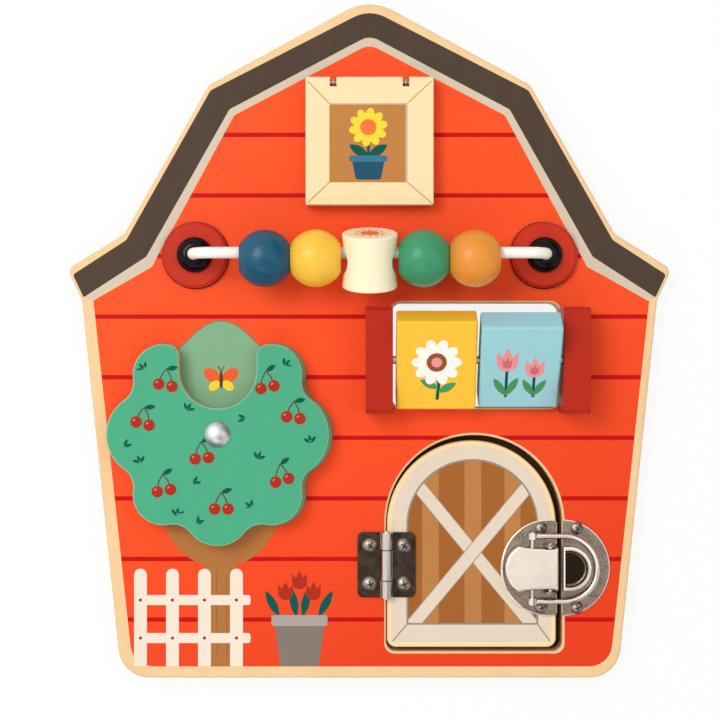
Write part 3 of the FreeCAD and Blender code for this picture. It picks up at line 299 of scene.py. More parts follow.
def lacquer(name, colour, rough=0.36, grain=0.05, along="Z"):
    """Turned wood under a satin lacquer."""
    made = Shader(name, colour, rough=rough, level=0.32)
    fibres, figure = wood_grain(made, along)
    tone = made.mix(figure, shade(colour, 1 + grain), shade(colour, 1 - grain))
    tone = made.mix(made.spread(fibres, 0.0, 0.3), tone, shade(colour, 1 - 2 * grain))
    made.set("Base Color", tone)
    made.set("Roughness", made.spread(fibres, rough - 0.04, rough + 0.1))
    made.surface.inputs["Coat Weight"].default_value = 0.12
    made.surface.inputs["Coat Roughness"].default_value = 0.2
    made.bump(figure, 0.12 * MM, 0.25)
    return made.material


def metal(name, colour, rough, brushed=0.08, smudge=0.84):
    """Plated or brushed metal with faint lines and smudges."""
    made = Shader(name, colour, rough=rough, metal=1.0)
    lines = made.noise(2600, (1, 0.05, 1), detail=3, rough=0.6)
    smudges = made.noise(110, detail=3)
    made.set("Base Color", made.mix(made.fade(smudges, 0.35, 0.7), colour, shade(colour, smudge)))
    uneven = made.maths("ADD", made.spread(lines, -brushed / 2, brushed), made.spread(smudges, -0.04, 0.08))
    made.set("Roughness", made.maths("ADD", uneven, rough))
    made.bump(lines, 0.004 * MM, 0.12)
    return made.material


def hinge_metal():
    """Dark bronzed leaves that turn bright at the polished knuckles, with painted shade in dark rings at the
    splits between the knuckles.
    """
    leaf = tint(68, 57, 48)
    bright = tint(214, 206, 198)
    made = Shader("hinge_metal", leaf, rough=0.32, metal=1.0)
    smudges = made.noise(160, detail=4)
    lines = made.noise(2400, (1, 0.06, 1), detail=3)
    from_axis = made.maths("ABSOLUTE", made.maths("SUBTRACT", made.part("X"), HINGE.x))
    knuckle = made.fade(from_axis, 3.1 * MM, 2.7 * MM)
    from_middle = made.maths("ABSOLUTE", made.maths("SUBTRACT", made.part("Y"), middle("hinge_pin").y))
    # Painted shade: a dark ring at each split between the knuckles.
    split = made.within(from_middle, 7.35 * MM, 7.85 * MM, 0.12 * MM)
    bright = made.mix(split, bright, tint(46, 38, 32))
    dark = made.mix(made.fade(smudges, 0.3, 0.72), shade(leaf, 1.25), shade(leaf, 0.5))
    made.set("Base Color", made.mix(knuckle, dark, bright))
    rough = made.mix(knuckle, (0.36, 0.36, 0.36, 1), (0.16, 0.16, 0.16, 1))
    made.set("Roughness", made.maths("ADD", rough, made.spread(lines, -0.05, 0.07)))
    made.bump(smudges, 0.02 * MM, 0.3)
    return made.material


def latch_plate_metal():
    """Mottled warm plating, with painted highlights on its rims and arrises and painted shade in the dish of
    the keeper's hook.
    """
    made = Shader("plate_metal", tint(158, 142, 128), rough=0.3, metal=1.0)
    plating, deep, bright = tint(164, 147, 132), tint(98, 84, 72), tint(250, 238, 226)
    mottle = made.noise(950, detail=5, rough=0.6)
    broad = made.noise(160, detail=2)
    patches = made.maths("MULTIPLY", made.fade(mottle, 0.3, 0.72), made.fade(broad, 0.25, 0.75))
    plate = made.mix(patches, plating, deep)
    keeper_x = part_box("latch_keeper")[0].x
    base_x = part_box("latch_base")[1].x
    centre_y = middle("latch_keeper").y

    def reach(x):
        """Distance from a point on the latch's centre line."""
        from_x = made.maths("SUBTRACT", made.part("X"), x)
        from_y = made.maths("SUBTRACT", made.part("Y"), centre_y)
        return made.maths("SQRT", made.maths("ADD", made.maths("MULTIPLY", from_x, from_x),
                                             made.maths("MULTIPLY", from_y, from_y)))

    on_board = made.fade(made.part("X"), base_x + 1.0 * MM, base_x + 1.2 * MM)
    on_door = made.maths("SUBTRACT", 1.0, on_board)
    outer = made.maths("ADD", made.maths("MULTIPLY", on_board, reach(keeper_x)),
                       made.maths("MULTIPLY", on_door, reach(base_x - 4.0 * MM)))
    arris = made.fade(outer, 23.5 * MM, 23.8 * MM)
    raised = made.maths("MULTIPLY", made.fade(outer, 22.9 * MM, 23.2 * MM),
                        made.fade(made.part("Z"), FACE_Z + 1.3 * MM, FACE_Z + 1.9 * MM))
    straight = made.within(made.part("X"), base_x - 0.3 * MM, keeper_x + 0.3 * MM, 0.15 * MM)
    hook = reach(keeper_x + 3.5 * MM)
    high = made.fade(made.part("Z"), FACE_Z + 4.9 * MM, FACE_Z + 5.4 * MM)
    hook_rim = made.maths("MULTIPLY", made.within(hook, 9.4 * MM, 11.2 * MM, 0.4 * MM), high)
    lip = made.maths("MULTIPLY", made.within(made.part("X"), keeper_x, keeper_x + 1.2 * MM, 0.15 * MM), high)
    # Painted highlights: the bright colour on the outer arris, the raised rim, the straight edges by the gap
    # and the hook's rim and lip.
    painted_highlight = arris
    for other in (raised, straight, hook_rim, lip):
        painted_highlight = made.maths("MAXIMUM", painted_highlight, other)
    # Painted shade: a dark colour in the dish of the keeper's hook.
    inside = made.fade(hook, 9.0 * MM, 7.4 * MM)
    past_lip = made.fade(made.part("X"), keeper_x + 1.3 * MM, keeper_x + 2.4 * MM)
    sunk = made.fade(made.part("Z"), FACE_Z + 5.6 * MM, FACE_Z + 4.2 * MM)
    dish = made.maths("MULTIPLY", made.maths("MULTIPLY", inside, past_lip), sunk)
    colour = made.mix(dish, plate, tint(46, 35, 27))
    made.set("Base Color", made.mix(painted_highlight, colour, bright))
    made.set("Roughness", made.spread(mottle, 0.2, 0.36))
    made.bump(mottle, 0.015 * MM, 0.2)
    return made.material


def glossy_black():
    made = Shader("black_collar", tint(14, 12, 12), rough=0.12, level=0.13)
    made.set("Roughness", made.spread(made.noise(400, detail=2), 0.08, 0.18))
    made.set("Base Color", made.mix(made.noise(200), tint(10, 8, 8), tint(20, 17, 17)))
    return made.material


def white_coating():
    made = Shader("white_wire", tint(250, 246, 238), rough=0.3)
    made.set("Roughness", made.spread(made.noise(500, detail=2), 0.24, 0.4))
    made.set("Base Color", made.mix(made.noise(120), tint(253, 250, 243), tint(243, 238, 228)))
    return made.material


def dress(material, *names):
    """Give CAD nodes a material."""
    for name in names:
        mesh = nodes[name].data
        mesh.materials.clear()
        mesh.materials.append(material)


bare_ply = plywood("bare_plywood")
red_lacquer = printed("red_lacquer", tint(204, 54, 32), rough=0.4, grain=0.13)
bright_metal = metal("bright_metal", tint(226, 222, 216), 0.16)
steel_metal = metal("steel_metal", tint(200, 196, 190), 0.26)
plate_metal = latch_plate_metal()
lever_metal = metal("lever_metal", tint(255, 240, 224), 0.12, brushed=0.03, smudge=0.94)
wire_metal = metal("wire_metal", tint(240, 230, 220), 0.1, brushed=0.03)
screw_metal = metal("screw_metal", tint(158, 147, 137), 0.34)
# Painted shade: the dark colour of the cross slots stands in for the shade in their recesses.
slot_shade_material = Shader("screw_slot_shade", tint(58, 52, 46), rough=0.45, metal=0.7).material

dress(bare_ply, "front_panel", "back_panel")
dress(red_lacquer, "disc_left", "disc_right")
dress(printed("bracket_red", tint(184, 42, 20), rough=0.42, grain=0.12), "bracket_left", "bracket_right")
dress(glossy_black(), "collar_left", "collar_right")
dress(white_coating(), "bead_rod")
# The lighter arris colours of the tree and the shutter are painted highlights on their chamfers.
dress(faced("tree_face", TREE_GREEN, tint(128, 196, 160)), "tree_disc")
dress(faced("shutter_face", CREAM, tint(246, 226, 186)), "shutter")
dress(faced("door_face", BIRCH, tint(232, 200, 156)), "door")
dress(printed("yellow_paint", tint(252, 194, 58), grain=0.04), "flip_block_yellow")
dress(printed("light_blue_paint", tint(158, 209, 216), grain=0.04), "flip_block_blue")
dress(lacquer("blue_lacquer", tint(4, 80, 108)), "bead_blue")
dress(lacquer("yellow_lacquer", tint(252, 194, 62)), "bead_yellow")
dress(lacquer("cream_lacquer", tint(255, 240, 204), rough=0.36), "spool")
dress(lacquer("green_lacquer", tint(56, 146, 102)), "bead_green")
dress(lacquer("orange_lacquer", tint(230, 145, 50)), "bead_orange")
dress(steel_metal, "flip_axle", "disc_screws", "bracket_screws", "tree_spacer", "rivet_washer",
      "shutter_pin", "shutter_eyes")
dress(bright_metal, "hinge_pin", "lever_pin", "loop_pin")
dress(metal("satin_metal", tint(220, 220, 221), 0.36), "tree_rivet")
dress(screw_metal, "hinge_screws_fixed", "hinge_screws_door", "keeper_screws", "latch_screws")
dress(hinge_metal(), "hinge_leaf_fixed", "hinge_leaf_door")
dress(plate_metal, "latch_base", "latch_keeper")
dress(lever_metal, "latch_lever")
dress(wire_metal, "latch_loop")

# Flat shapes in millimetres


def arc(x, y, radius, start, end, steps=24):
    """Points along an arc, angles in degrees."""
    angles = [math.radians(start + (end - start) * step / steps) for step in range(steps + 1)]
    return [(x + radius * math.cos(angle), y + radius * math.sin(angle)) for angle in angles]


def disc(x, y, radius, steps=48):
    return arc(x, y, radius, 0, 360 * (steps - 1) / steps, steps - 1)


def oval(x, y, long, wide, turn=0, steps=36):
    """An ellipse with its long half axis turned from the X axis."""
    return turned([(long * px, wide * py) for px, py in disc(0, 0, 1, steps)], turn, x, y)


def turned(points, angle, x=0, y=0):
    cos, sin = math.cos(math.radians(angle)), math.sin(math.radians(angle))
    return [(x + px * cos - py * sin, y + px * sin + py * cos) for px, py in points]


def rounded(points, radius, steps=6):
    """A polygon with its corners rounded; radius is one value or one for each point."""
    radii = radius if isinstance(radius, (list, tuple)) else [radius] * len(points)
    result = []
    for index, corner in enumerate(points):
        here = Vector(corner)
        one = (Vector(points[index - 1]) - here).normalized()
        other = (Vector(points[(index + 1) % len(points)]) - here).normalized()
        half = one.angle(other) / 2
        bend = radii[index]
        if bend <= 0 or half > math.radians(88):
            result.append(tuple(here))
            continue
        centre = here + (one + other).normalized() * (bend / math.sin(half))
        start = here + one * (bend / math.tan(half)) - centre
        sweep = start.angle_signed(here + other * (bend / math.tan(half)) - centre)
        turns = [Matrix.Rotation(-sweep * step / steps, 2) for step in range(steps + 1)]
        result += [tuple(centre + turn @ start) for turn in turns]
    return result


def box_shape(left, right, low, high, radius=0.0):
    corners = [(left, low), (right, low), (right, high), (left, high)]
    return rounded(corners, radius) if radius else corners


def strip(points, half, closed=False):
    """A band of even width along a line of points."""
    sides = ([], [])
    count = len(points)
    for index, point in enumerate(points):
        here = Vector(point)
        before = Vector(points[index - 1]) if closed or index else None
        after = Vector(points[(index + 1) % count]) if closed or index < count - 1 else None
        ways = [(here - before).normalized()] if before is not None else []
        ways += [(after - here).normalized()] if after is not None else []
        way = sum(ways, Vector((0, 0))).normalized()
        across = Vector((-way.y, way.x)) * (half / max(way.dot(ways[0]), 0.3))
        sides[0].append(tuple(here + across))
        sides[1].append(tuple(here - across))
    return [sides[0], sides[1]] if closed else [sides[0] + sides[1][::-1]]


def leaf(x, y, length, width, angle):
    """A pointed leaf that starts at a point and grows at an angle."""
    edge = [(length * step / 12, width / 2 * math.sin(math.pi * step / 12) ** 0.8) for step in range(13)]
    return turned(edge + [(px, -py) for px, py in edge[-2:0:-1]], angle, x, y)


def flower(x, y, petals, inner, outer, turn=0):
    """Separate oval petals round a centre."""
    reach = (inner + outer) / 2
    half = (outer - inner) / 2
    width = math.pi * reach / petals * 1.05
    spots = [turn + 360 * index / petals for index in range(petals)]
    return [
        oval(x + reach * math.cos(math.radians(angle)), y + reach * math.sin(math.radians(angle)),
             half, width, angle)
        for angle in spots
    ]


def cut(points, left=None, right=None, low=None, high=None):
    """The part of a polygon inside the given limits."""
    for axis, limit, sign in ((0, left, 1), (0, right, -1), (1, low, 1), (1, high, -1)):
        if limit is None:
            continue
        kept = []
        for index, end in enumerate(points):
            start = points[index - 1]
            start_in = (start[axis] - limit) * sign >= 0
            end_in = (end[axis] - limit) * sign >= 0
            if start_in != end_in:
                share = (limit - start[axis]) / (end[axis] - start[axis])
                kept.append(tuple(a + (b - a) * share for a, b in zip(start, end)))
            if end_in:
                kept.append(end)
        points = kept
    return points


# Prints: thin layers on a face, each a little above the one under it

LAYER = 0.03 * MM


def on_face(x, y, z):
    """A print plane that looks along +Z, with its zero at a point."""
    return Matrix.Translation((x, y, z))


def print_on(body, name, shapes, material, plane, layer=1):
    """Closed thin solids from outlines; an outline inside another is a hole in it."""
    curve = bpy.data.curves.new(name, "CURVE")
    curve.dimensions = "2D"
    curve.fill_mode = "BOTH"
    curve.extrude = layer * LAYER / 2 + LAYER / 4
    for shape in shapes:
        line = curve.splines.new("POLY")
        line.points.add(len(shape) - 1)
        line.use_cyclic_u = True
        for point, (x, y) in zip(line.points, shape):
            point.co = (x * MM, y * MM, 0, 1)
    source = bpy.data.objects.new(name, curve)
    bpy.context.scene.collection.objects.link(source)
    bpy.context.view_layer.update()
    mesh = bpy.data.meshes.new_from_object(source.evaluated_get(bpy.context.evaluated_depsgraph_get()))
    bpy.data.objects.remove(source)
    bpy.data.curves.remove(curve)
    mesh.transform(plane @ Matrix.Translation((0, 0, layer * LAYER / 2 - LAYER / 4)))
    mesh.materials.clear()
    mesh.materials.append(material)
    piece = bpy.data.objects.new(name, mesh)
    bpy.context.scene.collection.objects.link(piece)
    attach(piece, body)
    return piece


def print_petals(body, name, petals, material, plane, layer):
    """Overlapping petals: every second one lies under its neighbours."""
    print_on(body, name + "_under", petals[0::2], material, plane, layer)
    print_on(body, name + "_over", petals[1::2], material, plane, layer + 0.6)


flat_materials = {}


def ink(name, colour, **settings):
    """A print colour, made once."""
    if name not in flat_materials:
        flat_materials[name] = printed(name, colour, **settings)
    return flat_materials[name]


board_face = on_face(0, 0, FACE_Z)

# The red field, the trim and the roof band

FIELD_SHIFT = 0.9
FIELD_FOOT = BOTTOM / MM + 5.8


def field_outline():
    right = [(67.65, 112.85), (108.75, 37.1), (138.95, 20.25), (119.3, FIELD_FOOT)]
    shifted = [(x + FIELD_SHIFT * (y < 30), y) for x, y in right]
    left = [(-x + FIELD_SHIFT * (y < 30), y) for x, y in reversed(right)]
    return rounded([(0, 148.4)] + shifted + left, [9, 3, 3, 1, 11.5, 11.5, 1, 3, 3])


def roof_line(points):
    """A roof line from the left eave over the peak to the right one."""
    return [(-x, y) for x, y in reversed(points[1:])] + points


def doorway_hole(margin):
    """The doorway's outline, grown by a margin, from the door's own box."""
    left = DOOR_LOW.x / MM - 0.25 - margin
    right = DOOR_HIGH.x / MM + 3.25 + margin
    foot = DOOR_LOW.y / MM - 2.15 - margin
    half = (right - left) / 2
    spring = DOOR_HIGH.y / MM + 2.85 + margin - half
    corners = rounded([(left, spring), (left, foot), (right, foot), (right, spring)], [0, 5, 5, 0])
    return corners + arc(left + half, spring, half, 0, 180, 48)[1:-1]


def print_board():
    disc_low, disc_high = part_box("disc_left")
    disc_y = (disc_low.y + disc_high.y) / 2 / MM
    disc_x = (disc_low.x + disc_high.x) / 2 / MM
    window = box_shape(9.9, 96.1, -34.1, 20.1, 6)
    holes = [disc(disc_x, disc_y, 17.05), disc(-disc_x, disc_y, 17.05), window, doorway_hole(1.1)]
    print_on("board", "red_field", [field_outline()] + holes, barn_red(), board_face)
    inside = on_face(0, 0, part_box("back_panel")[1].z)
    # Painted shade: a dark brown print on the back panel inside the doorway stands in for the shade deep in
    # the gap round the door.
    brown = ink("doorway_shade_ink", tint(62, 43, 28), rough=0.6)
    print_on("board", "doorway_floor_shade", [doorway_hole(-0.1)], brown, inside, 2)
    outer = [(0, 166.0), (79.5, 125.3), (121.6, 50.5), (148.3, 33.2), (143.2, 22.2)]
    trim_outer = [(0, 152.8), (70.05, 115.8), (111.6, 42.15), (142.65, 22.0)]
    trim_inner = [(0, 148.6), (67.75, 113.0), (108.85, 37.25), (139.1, 20.2)]
    roof = roof_line(outer) + roof_line(trim_outer)[::-1]
    trim = roof_line(trim_outer) + roof_line(trim_inner)[::-1]
    band = rounded(roof, [0.8, 1.5, 4, 4, 17, 4, 4, 1.5, 0.8] + [0.6, 3, 3, 9, 3, 3, 0.6])
    roof_ink = ink("roof_brown", ROOF_BROWN, rough=0.5, grain=0.16)
    print_on("board", "roof_band", [band], roof_ink, board_face)
    edging = rounded(trim, [0.3, 3, 3, 9, 3, 3, 0.3] + [0.3, 3, 3, 8.6, 3, 3, 0.3])
    print_on("board", "roof_trim", [edging], ink("trim_beige", TRIM_BEIGE, grain=0.04), board_face, 2)


def crown_outline(grow=0.0):
    """The turning disc's own outline a little larger, with a top lobe where the disc has its notch."""
    level = TREE_TOP - 0.6 * MM
    rim = []
    for vertex in nodes["tree_disc"].data.vertices:
        arm = Vector((vertex.co.x - TREE.x, vertex.co.y - TREE.y)) / MM
        if abs(vertex.co.z - level) < 0.05 * MM and arm.length > 40:
            angle = math.degrees(math.atan2(arm.y, arm.x)) % 360
            if not 61 < angle < 119:
                rim.append((angle, arm.length))
    for step in range(29):
        from_top = -28 + 2 * step
        rim.append((90 + from_top, 51.6 + 4.4 * math.cos(math.radians(from_top * 180 / 28))))
    rim.sort()
    x, y = TREE.x / MM + 0.9, TREE.y / MM - 0.3
    return [(x + (reach + 0.8 + grow) * math.cos(math.radians(angle)),
             y + (reach + 0.8 + grow) * math.sin(math.radians(angle))) for angle, reach in rim]


def print_yard():
    """The fixed part of the tree, a fence and a planter at the board's foot."""
    foot = FIELD_FOOT + 0.02
    print_on("board", "crown", [crown_outline()], ink("crown_green", CROWN_GREEN), board_face, 2)
    # Painted shadow: a dark green line along the crown's edge beside the turning disc, on the lower right
    # where the crown shows past it.
    edge = [crown_outline(0.15), crown_outline(-0.25)]
    print_on("board", "crown_shadow_edge", edge, ink("crown_shadow_line", tint(70, 120, 92)), board_face, 2.5)
    stem = [(-84.0, -122.0), (-85.0, foot), (-64.0, foot), (-65.0, -122.0)]
    fork = arc(-74.5, -84.0, 29.0, 180, 256, 20) + stem
    fork += arc(-74.5, -84.0, 29.0, 284, 360, 20) + arc(-74.5, -84.0, 16.0, 360, 180, 36)
    print_on("board", "trunk", [fork], ink("bark", BARK, along="Y"), board_face, 3)
    bark_lines = [cut(strip([(x, -117.0 + rise), (x + 0.5, -158.0)], 0.22)[0], low=foot)
                  for x, rise in ((-80.5, -6), (-76.5, 2), (-71.5, -1), (-68.0, -9))]
    print_on("board", "bark_lines", bark_lines, ink("bark_line", tint(150, 94, 46)), board_face, 3.4)
    picket_places = (-114.5, -98.5, -82.5, -66.5)
    picket_half = 3.2
    picket_top = -117.0
    rail_places = (-132.0, -151.0)
    rail_high = 5.0
    pickets = []
    for x in picket_places:
        sides = [(x - picket_half, foot), (x + picket_half, foot), (x + picket_half, picket_top)]
        pickets.append(sides + arc(x, picket_top, picket_half, 0, 180, 14)[1:])
    print_on("board", "pickets", pickets, ink("fence_cream", FENCE_CREAM), board_face, 5)
    rails = [box_shape(-117.5, -59.5, y, y + rail_high, 1.2) for y in rail_places]
    print_on("board", "rails", rails, ink("fence_cream", FENCE_CREAM), board_face, 4)
    nails = [disc(x, y + rail_high / 2, 0.8, 16) for x in picket_places for y in rail_places]
    print_on("board", "nails", nails, ink("nail_brown", tint(110, 66, 34)), board_face, 6)
    pot = rounded([(-44.5, foot), (-25.5, foot), (-22.5, -141.0), (-47.5, -141.0)], [1, 1, 0.5, 0.5])
    print_on("board", "planter", [pot], ink("pail_grey", PAIL_GREY), board_face, 3)
    rim = box_shape(-49.0, -21.0, -142.5, -137.0, 1.2)
    print_on("board", "planter_rim", [rim], ink("pail_light", tint(170, 160, 150)), board_face, 4)
    shoots = ((-45, 118), (-36.5, 100), (-33.5, 78), (-25.5, 62))
    leaves = [leaf(x, -138.0, 15, 4.2, angle) for x, angle in shoots]
    print_on("board", "planter_leaves", leaves, ink("leaf_green", LEAF_GREEN), board_face, 2)
    tulips = [cup(x, y, 3.6, 5.6) for x, y in ((-42.0, -126.0), (-35.0, -120.5), (-28.0, -126.0))]
    print_on("board", "planter_tulips", tulips, ink("cherry_red", CHERRY_RED), board_face, 3)


def cup(x, y, half, height, turn=0):
    """A tulip head: round below, three points above."""
    below = arc(0, 0, half, 180, 360, 16)
    above = [(half, height * 0.75), (half * 0.5, height * 0.35), (0, height), (-half * 0.5, height * 0.35),
             (-half, height * 0.75)]
    return turned(below + above, turn, x, y)


def print_tree():
    """Pairs of cherries and leaf marks on the turning tree, and a butterfly in its notch."""
    face = on_face(TREE.x, TREE.y, TREE_TOP)
    spots = [(-36, 9), (-27, -24), (2, -33), (31, -19), (38, 12), (24, 27), (-25, 28), (-8, -8)]
    cherries, leaves, lights = [], [], []
    stems = {-1: [], 1: []}
    for number, (x, y) in enumerate(spots):
        lean = (-14, 10, 0, 16, -8, 12, -10, 6)[number]
        for side in (-1, 1):
            end = turned([(side * 3.3, -3.6)], lean, x, y)[0]
            cherries.append(disc(*end, 2.9, 28))
            lights.append(oval(end[0] - 1.0, end[1] + 1.0, 0.75, 0.4, 40, 14))
            fork = (x, y + 4.6)
            bend = (Vector(end) + Vector(fork)) / 2 + Vector((side * 0.7, 0.4))
            stems[side] += strip([end, tuple(bend), fork], 0.28)
        leaves.append(leaf(x, y + 4.4, 5.6, 2.5, 20 + lean))
    marks = [(-46, -6, 20), (-15, 12, 60), (-38, -14, 110), (-12, -24, 10), (17, -36, 140), (20, -12, 70),
             (46, -4, 100), (14, 8, 200), (33, 34, 45), (-36, 32, 130), (-10, -44, 30), (-20, -40, 80)]
    sprigs = []
    for x, y, angle in marks:
        sprigs += [leaf(x, y, 4.2, 1.5, angle + turn) for turn in (-48, 0, 48)]
    print_on("tree", "tree_leaves", leaves + sprigs, ink("leaf_green", LEAF_GREEN), face)
    for side, name, layer in ((-1, "tree_stems_left", 2), (1, "tree_stems_right", 2.4)):
        print_on("tree", name, stems[side], ink("stem_brown", tint(96, 58, 32)), face, layer)
    print_on("tree", "tree_cherries", cherries, ink("cherry_red", CHERRY_RED), face, 3)
    print_on("tree", "cherry_lights", lights, ink("cherry_light", tint(226, 130, 104)), face, 4)
    x, y = TREE.x / MM + 1, TREE.y / MM + 27
    wings = [oval(x + side * 4.6, y + 2.2, 4.6, 3.1, side * 38) for side in (-1, 1)]
    print_on("board", "butterfly_wings", wings, ink("butterfly_orange", tint(236, 96, 44)), board_face, 3)
    tails = [oval(x + side * 3.4, y - 2.9, 3.2, 2.2, -side * 40) for side in (-1, 1)]
    print_on("board", "butterfly_tails", tails, ink("sun_yellow", tint(250, 214, 60)), board_face, 4)
    body = [oval(x, y, 4.4, 0.9, 90)]
    feelers = strip([(x, y + 4), (x - 1.6, y + 7)], 0.22) + strip([(x, y + 4), (x + 1.6, y + 7)], 0.22)
    print_on("board", "butterfly_body", body, ink("stem_brown", tint(96, 58, 32)), board_face, 5)
    print_on("board", "butterfly_feelers", feelers, ink("stem_brown", tint(96, 58, 32)), board_face, 4)


def print_door():
    """Planks in an arched frame with a crossed brace."""
    z = DOOR_HIGH.z
    face = on_face(0, 0, z)
    mid = 50.9

    def arched(left, right, low):
        half = (right - left) / 2
        spring = -91.95
        return [(left, low), (right, low)] + arc(left + half, spring, half, 0, 180, 60)

    inner = arched(18.4, 84.4, -141.9)
    outer = arched(mid - 39.9, mid + 39.9, -150.5)
    edges = [18.4, 26.3, 34.6, 47.5, 55.9, 67.5, 75.5, 84.4]
    planks = [cut(inner, left=a, right=b) for a, b in zip(edges, edges[1:])]
    print_on("door", "door_planks_dark", planks[0::2], ink("plank_dark", PLANK_DARK, grain=0.1), face)
    print_on("door", "door_planks_light", planks[1::2], ink("plank_light", PLANK_LIGHT, grain=0.1), face)
    opening = arched(19.2, 83.6, -141.1)
    print_on("door", "door_frame", [outer, opening], ink("door_cream", DOOR_CREAM), face, 3)
    shadow = strip(arched(18.9, 83.9, -141.4), 0.45, closed=True)
    print_on("door", "door_frame_line", shadow, ink("door_line", DOOR_LINE), face, 4)
    mitres = strip([(11.6, -150.0), (18.9, -141.4)], 0.3) + strip([(90.2, -150.0), (83.9, -141.4)], 0.3)
    print_on("door", "door_mitres", mitres, ink("door_line", DOOR_LINE), face, 5)
    falling = [(23.6, -71.5), (81.6, -142.2)]
    rising = [(79.6, -72.0), (21.2, -142.2)]
    for name, ends, layer in (("door_brace_under", falling, 1.5), ("door_brace_over", rising, 2)):
        band = cut(strip(ends, 3.3)[0], low=-141.4)
        print_on("door", name, [band], ink("door_cream", DOOR_CREAM), face, layer)
        lines = []
        for side in (-1, 1):
            way = (Vector(ends[1]) - Vector(ends[0])).normalized()
            aside = Vector((-way.y, way.x)) * (side * 3.3)
            lines.append(cut(strip([tuple(Vector(end) + aside) for end in ends], 0.22)[0], low=-141.4))
        print_on("door", name + "_lines", lines, ink("door_line", DOOR_LINE), face, layer + 0.25)


def print_shutter():
    """A mitred frame round a brown panel with a flower in a pot."""
    face = on_face(0, 0, SHUTTER_HIGH.z)
    left, right = SHUTTER_LOW.x / MM, SHUTTER_HIGH.x / MM
    low, high = SHUTTER_LOW.y / MM, SHUTTER_HIGH.y / MM
    panel = (-19.9, 18.6, 78.3, 117.2)
    print_on("shutter", "shutter_panel", [box_shape(*panel)],
             ink("shutter_brown", tint(194, 129, 67), grain=0.1), face)
    corners = [(x, y) for x in panel[:2] for y in panel[2:]]
    ends = [(x, y) for x in (left + 1.0, right - 1.0) for y in (low + 1.0, high - 2.4)]
    lines = [strip([a, b], 0.28)[0] for a, b in zip(corners, ends)]
    print_on("shutter", "shutter_mitres", lines, ink("cream_line", tint(186, 158, 116)), face)
    shadow = [
        (panel[0], panel[3] + 0.2), (panel[0], panel[3] - 0.5), (panel[1] - 0.8, panel[3] - 0.5),
        (panel[1] - 0.8, panel[2]), (panel[1] + 0.2, panel[2]), (panel[1] + 0.2, panel[3] + 0.2),
    ]
    print_on("shutter", "shutter_shadow", [shadow], ink("shutter_grey", tint(204, 182, 156)), face, 2)
    x = (panel[0] + panel[1]) / 2
    pot = rounded([(x - 6.2, 79.6), (x + 6.2, 79.6), (x + 8.2, 90.0), (x - 8.2, 90.0)], [1.6, 1.6, 0.4, 0.4])
    print_on("shutter", "shutter_pot", [pot], ink("pot_blue", tint(30, 80, 104)), face, 2)
    print_on("shutter", "shutter_pot_rim", [box_shape(x - 9.4, x + 9.4, 88.4, 91.6, 1.0)],
             ink("pot_light", tint(58, 116, 140)), face, 3)
    green = [leaf(x, 91, 11, 4.6, 32), leaf(x, 91, 11, 4.6, 148)] + strip([(x, 90), (x, 102)], 0.7)
    print_on("shutter", "shutter_leaves", green[:2], ink("leaf_green", LEAF_GREEN), face, 2)
    print_on("shutter", "shutter_stem", green[2:], ink("leaf_green", LEAF_GREEN), face, 2.5)
    print_petals("shutter", "shutter_petals", flower(x, 105.5, 10, 3.2, 9.6, 10),
                 ink("sun_yellow", tint(250, 214, 60)), face, 4)
    print_on("shutter", "shutter_flower", [disc(x, 105.5, 4.0)], ink("sun_orange", SUN_ORANGE), face, 6)


def block_face(node, tilt):
    """The print plane on the front of a flip block, from its rest tilt."""
    place = middle(node)
    thick = 15.0 * MM
    turn = Matrix.Rotation(math.radians(tilt), 4, "X")
    return Matrix.Translation((place.x, AXLE.y, AXLE.z)) @ turn @ Matrix.Translation((0, 0, thick / 2))


def print_blocks():
    """A daisy on the yellow block and tulips on the blue one."""
    face = block_face("flip_block_yellow", 23.6)
    body = "flip_yellow"
    stem = strip([(0.5, -18), (1.2, -10), (0, 0)], 0.8)
    print_on(body, "daisy_stem", stem, ink("leaf_green", LEAF_GREEN), face)
    print_on(body, "daisy_leaves", [leaf(1, -14, 10, 4, 30), leaf(1, -12, 10, 4, 152)],
             ink("meadow_green", tint(74, 150, 92)), face, 2)
    print_petals(body, "daisy_petals", flower(0, 2, 10, 4.2, 12.2), ink("petal_white", tint(253, 246, 234)),
                 face, 3)
    print_on(body, "daisy_centre", [disc(0, 2, 4.9)], ink("daisy_brown", tint(150, 84, 44)), face, 5)
    print_on(body, "daisy_heart", [disc(0, 2, 2.6)], ink("tulip_pink", tint(238, 150, 150)), face, 6)
    face = block_face("flip_block_blue", 33.5)
    body = "flip_blue"
    stems = strip([(-6.5, -17), (-6.5, -1)], 0.7) + strip([(7, -17), (7, -4)], 0.7)
    print_on(body, "tulip_stems", stems, ink("leaf_green", LEAF_GREEN), face)
    leaves = [leaf(-6.5, -16, 12, 3.8, angle) for angle in (62, 122)]
    leaves += [leaf(7, -16, 11, 3.6, angle) for angle in (58, 120)]
    print_on(body, "tulip_leaves", leaves, ink("meadow_green", tint(74, 150, 92)), face, 2)
    print_on(body, "tulip_heads", [cup(-6.5, 3.5, 5.2, 8.0), cup(7, -0.5, 4.6, 7.0)],
             ink("tulip_pink", tint(238, 150, 150)), face, 3)
    print_on(body, "tulip_hearts", [cup(-6.5, 2.2, 2.2, 4.4), cup(7, -1.6, 2.0, 4.0)],
             ink("tulip_rose", tint(214, 104, 112)), face, 4)


def print_spool():
    """A small sun on the end of the spool that faces up."""
    place = joint_place("spool_spin")
    tilt = 17
    half_length = 13.5 * MM
    turn = Matrix.Rotation(math.radians(tilt), 4, "X")
    to_end = Matrix.Translation((0, half_length, 0))
    outward = Matrix.Rotation(-math.pi / 2, 4, "X")
    face = Matrix.Translation(place) @ turn @ to_end @ outward
    rays = [turned([(5.6, -1.0), (8.6, 0), (5.6, 1.0)], 30 * number) for number in range(12)]
    print_on("spool", "sun", [disc(0, 0, 4.6)] + rays, ink("sun_orange", SUN_ORANGE), face)


print_board()
print_yard()
print_tree()
print_door()
print_shutter()
print_blocks()
print_spool()

# Cross slots in the screw heads


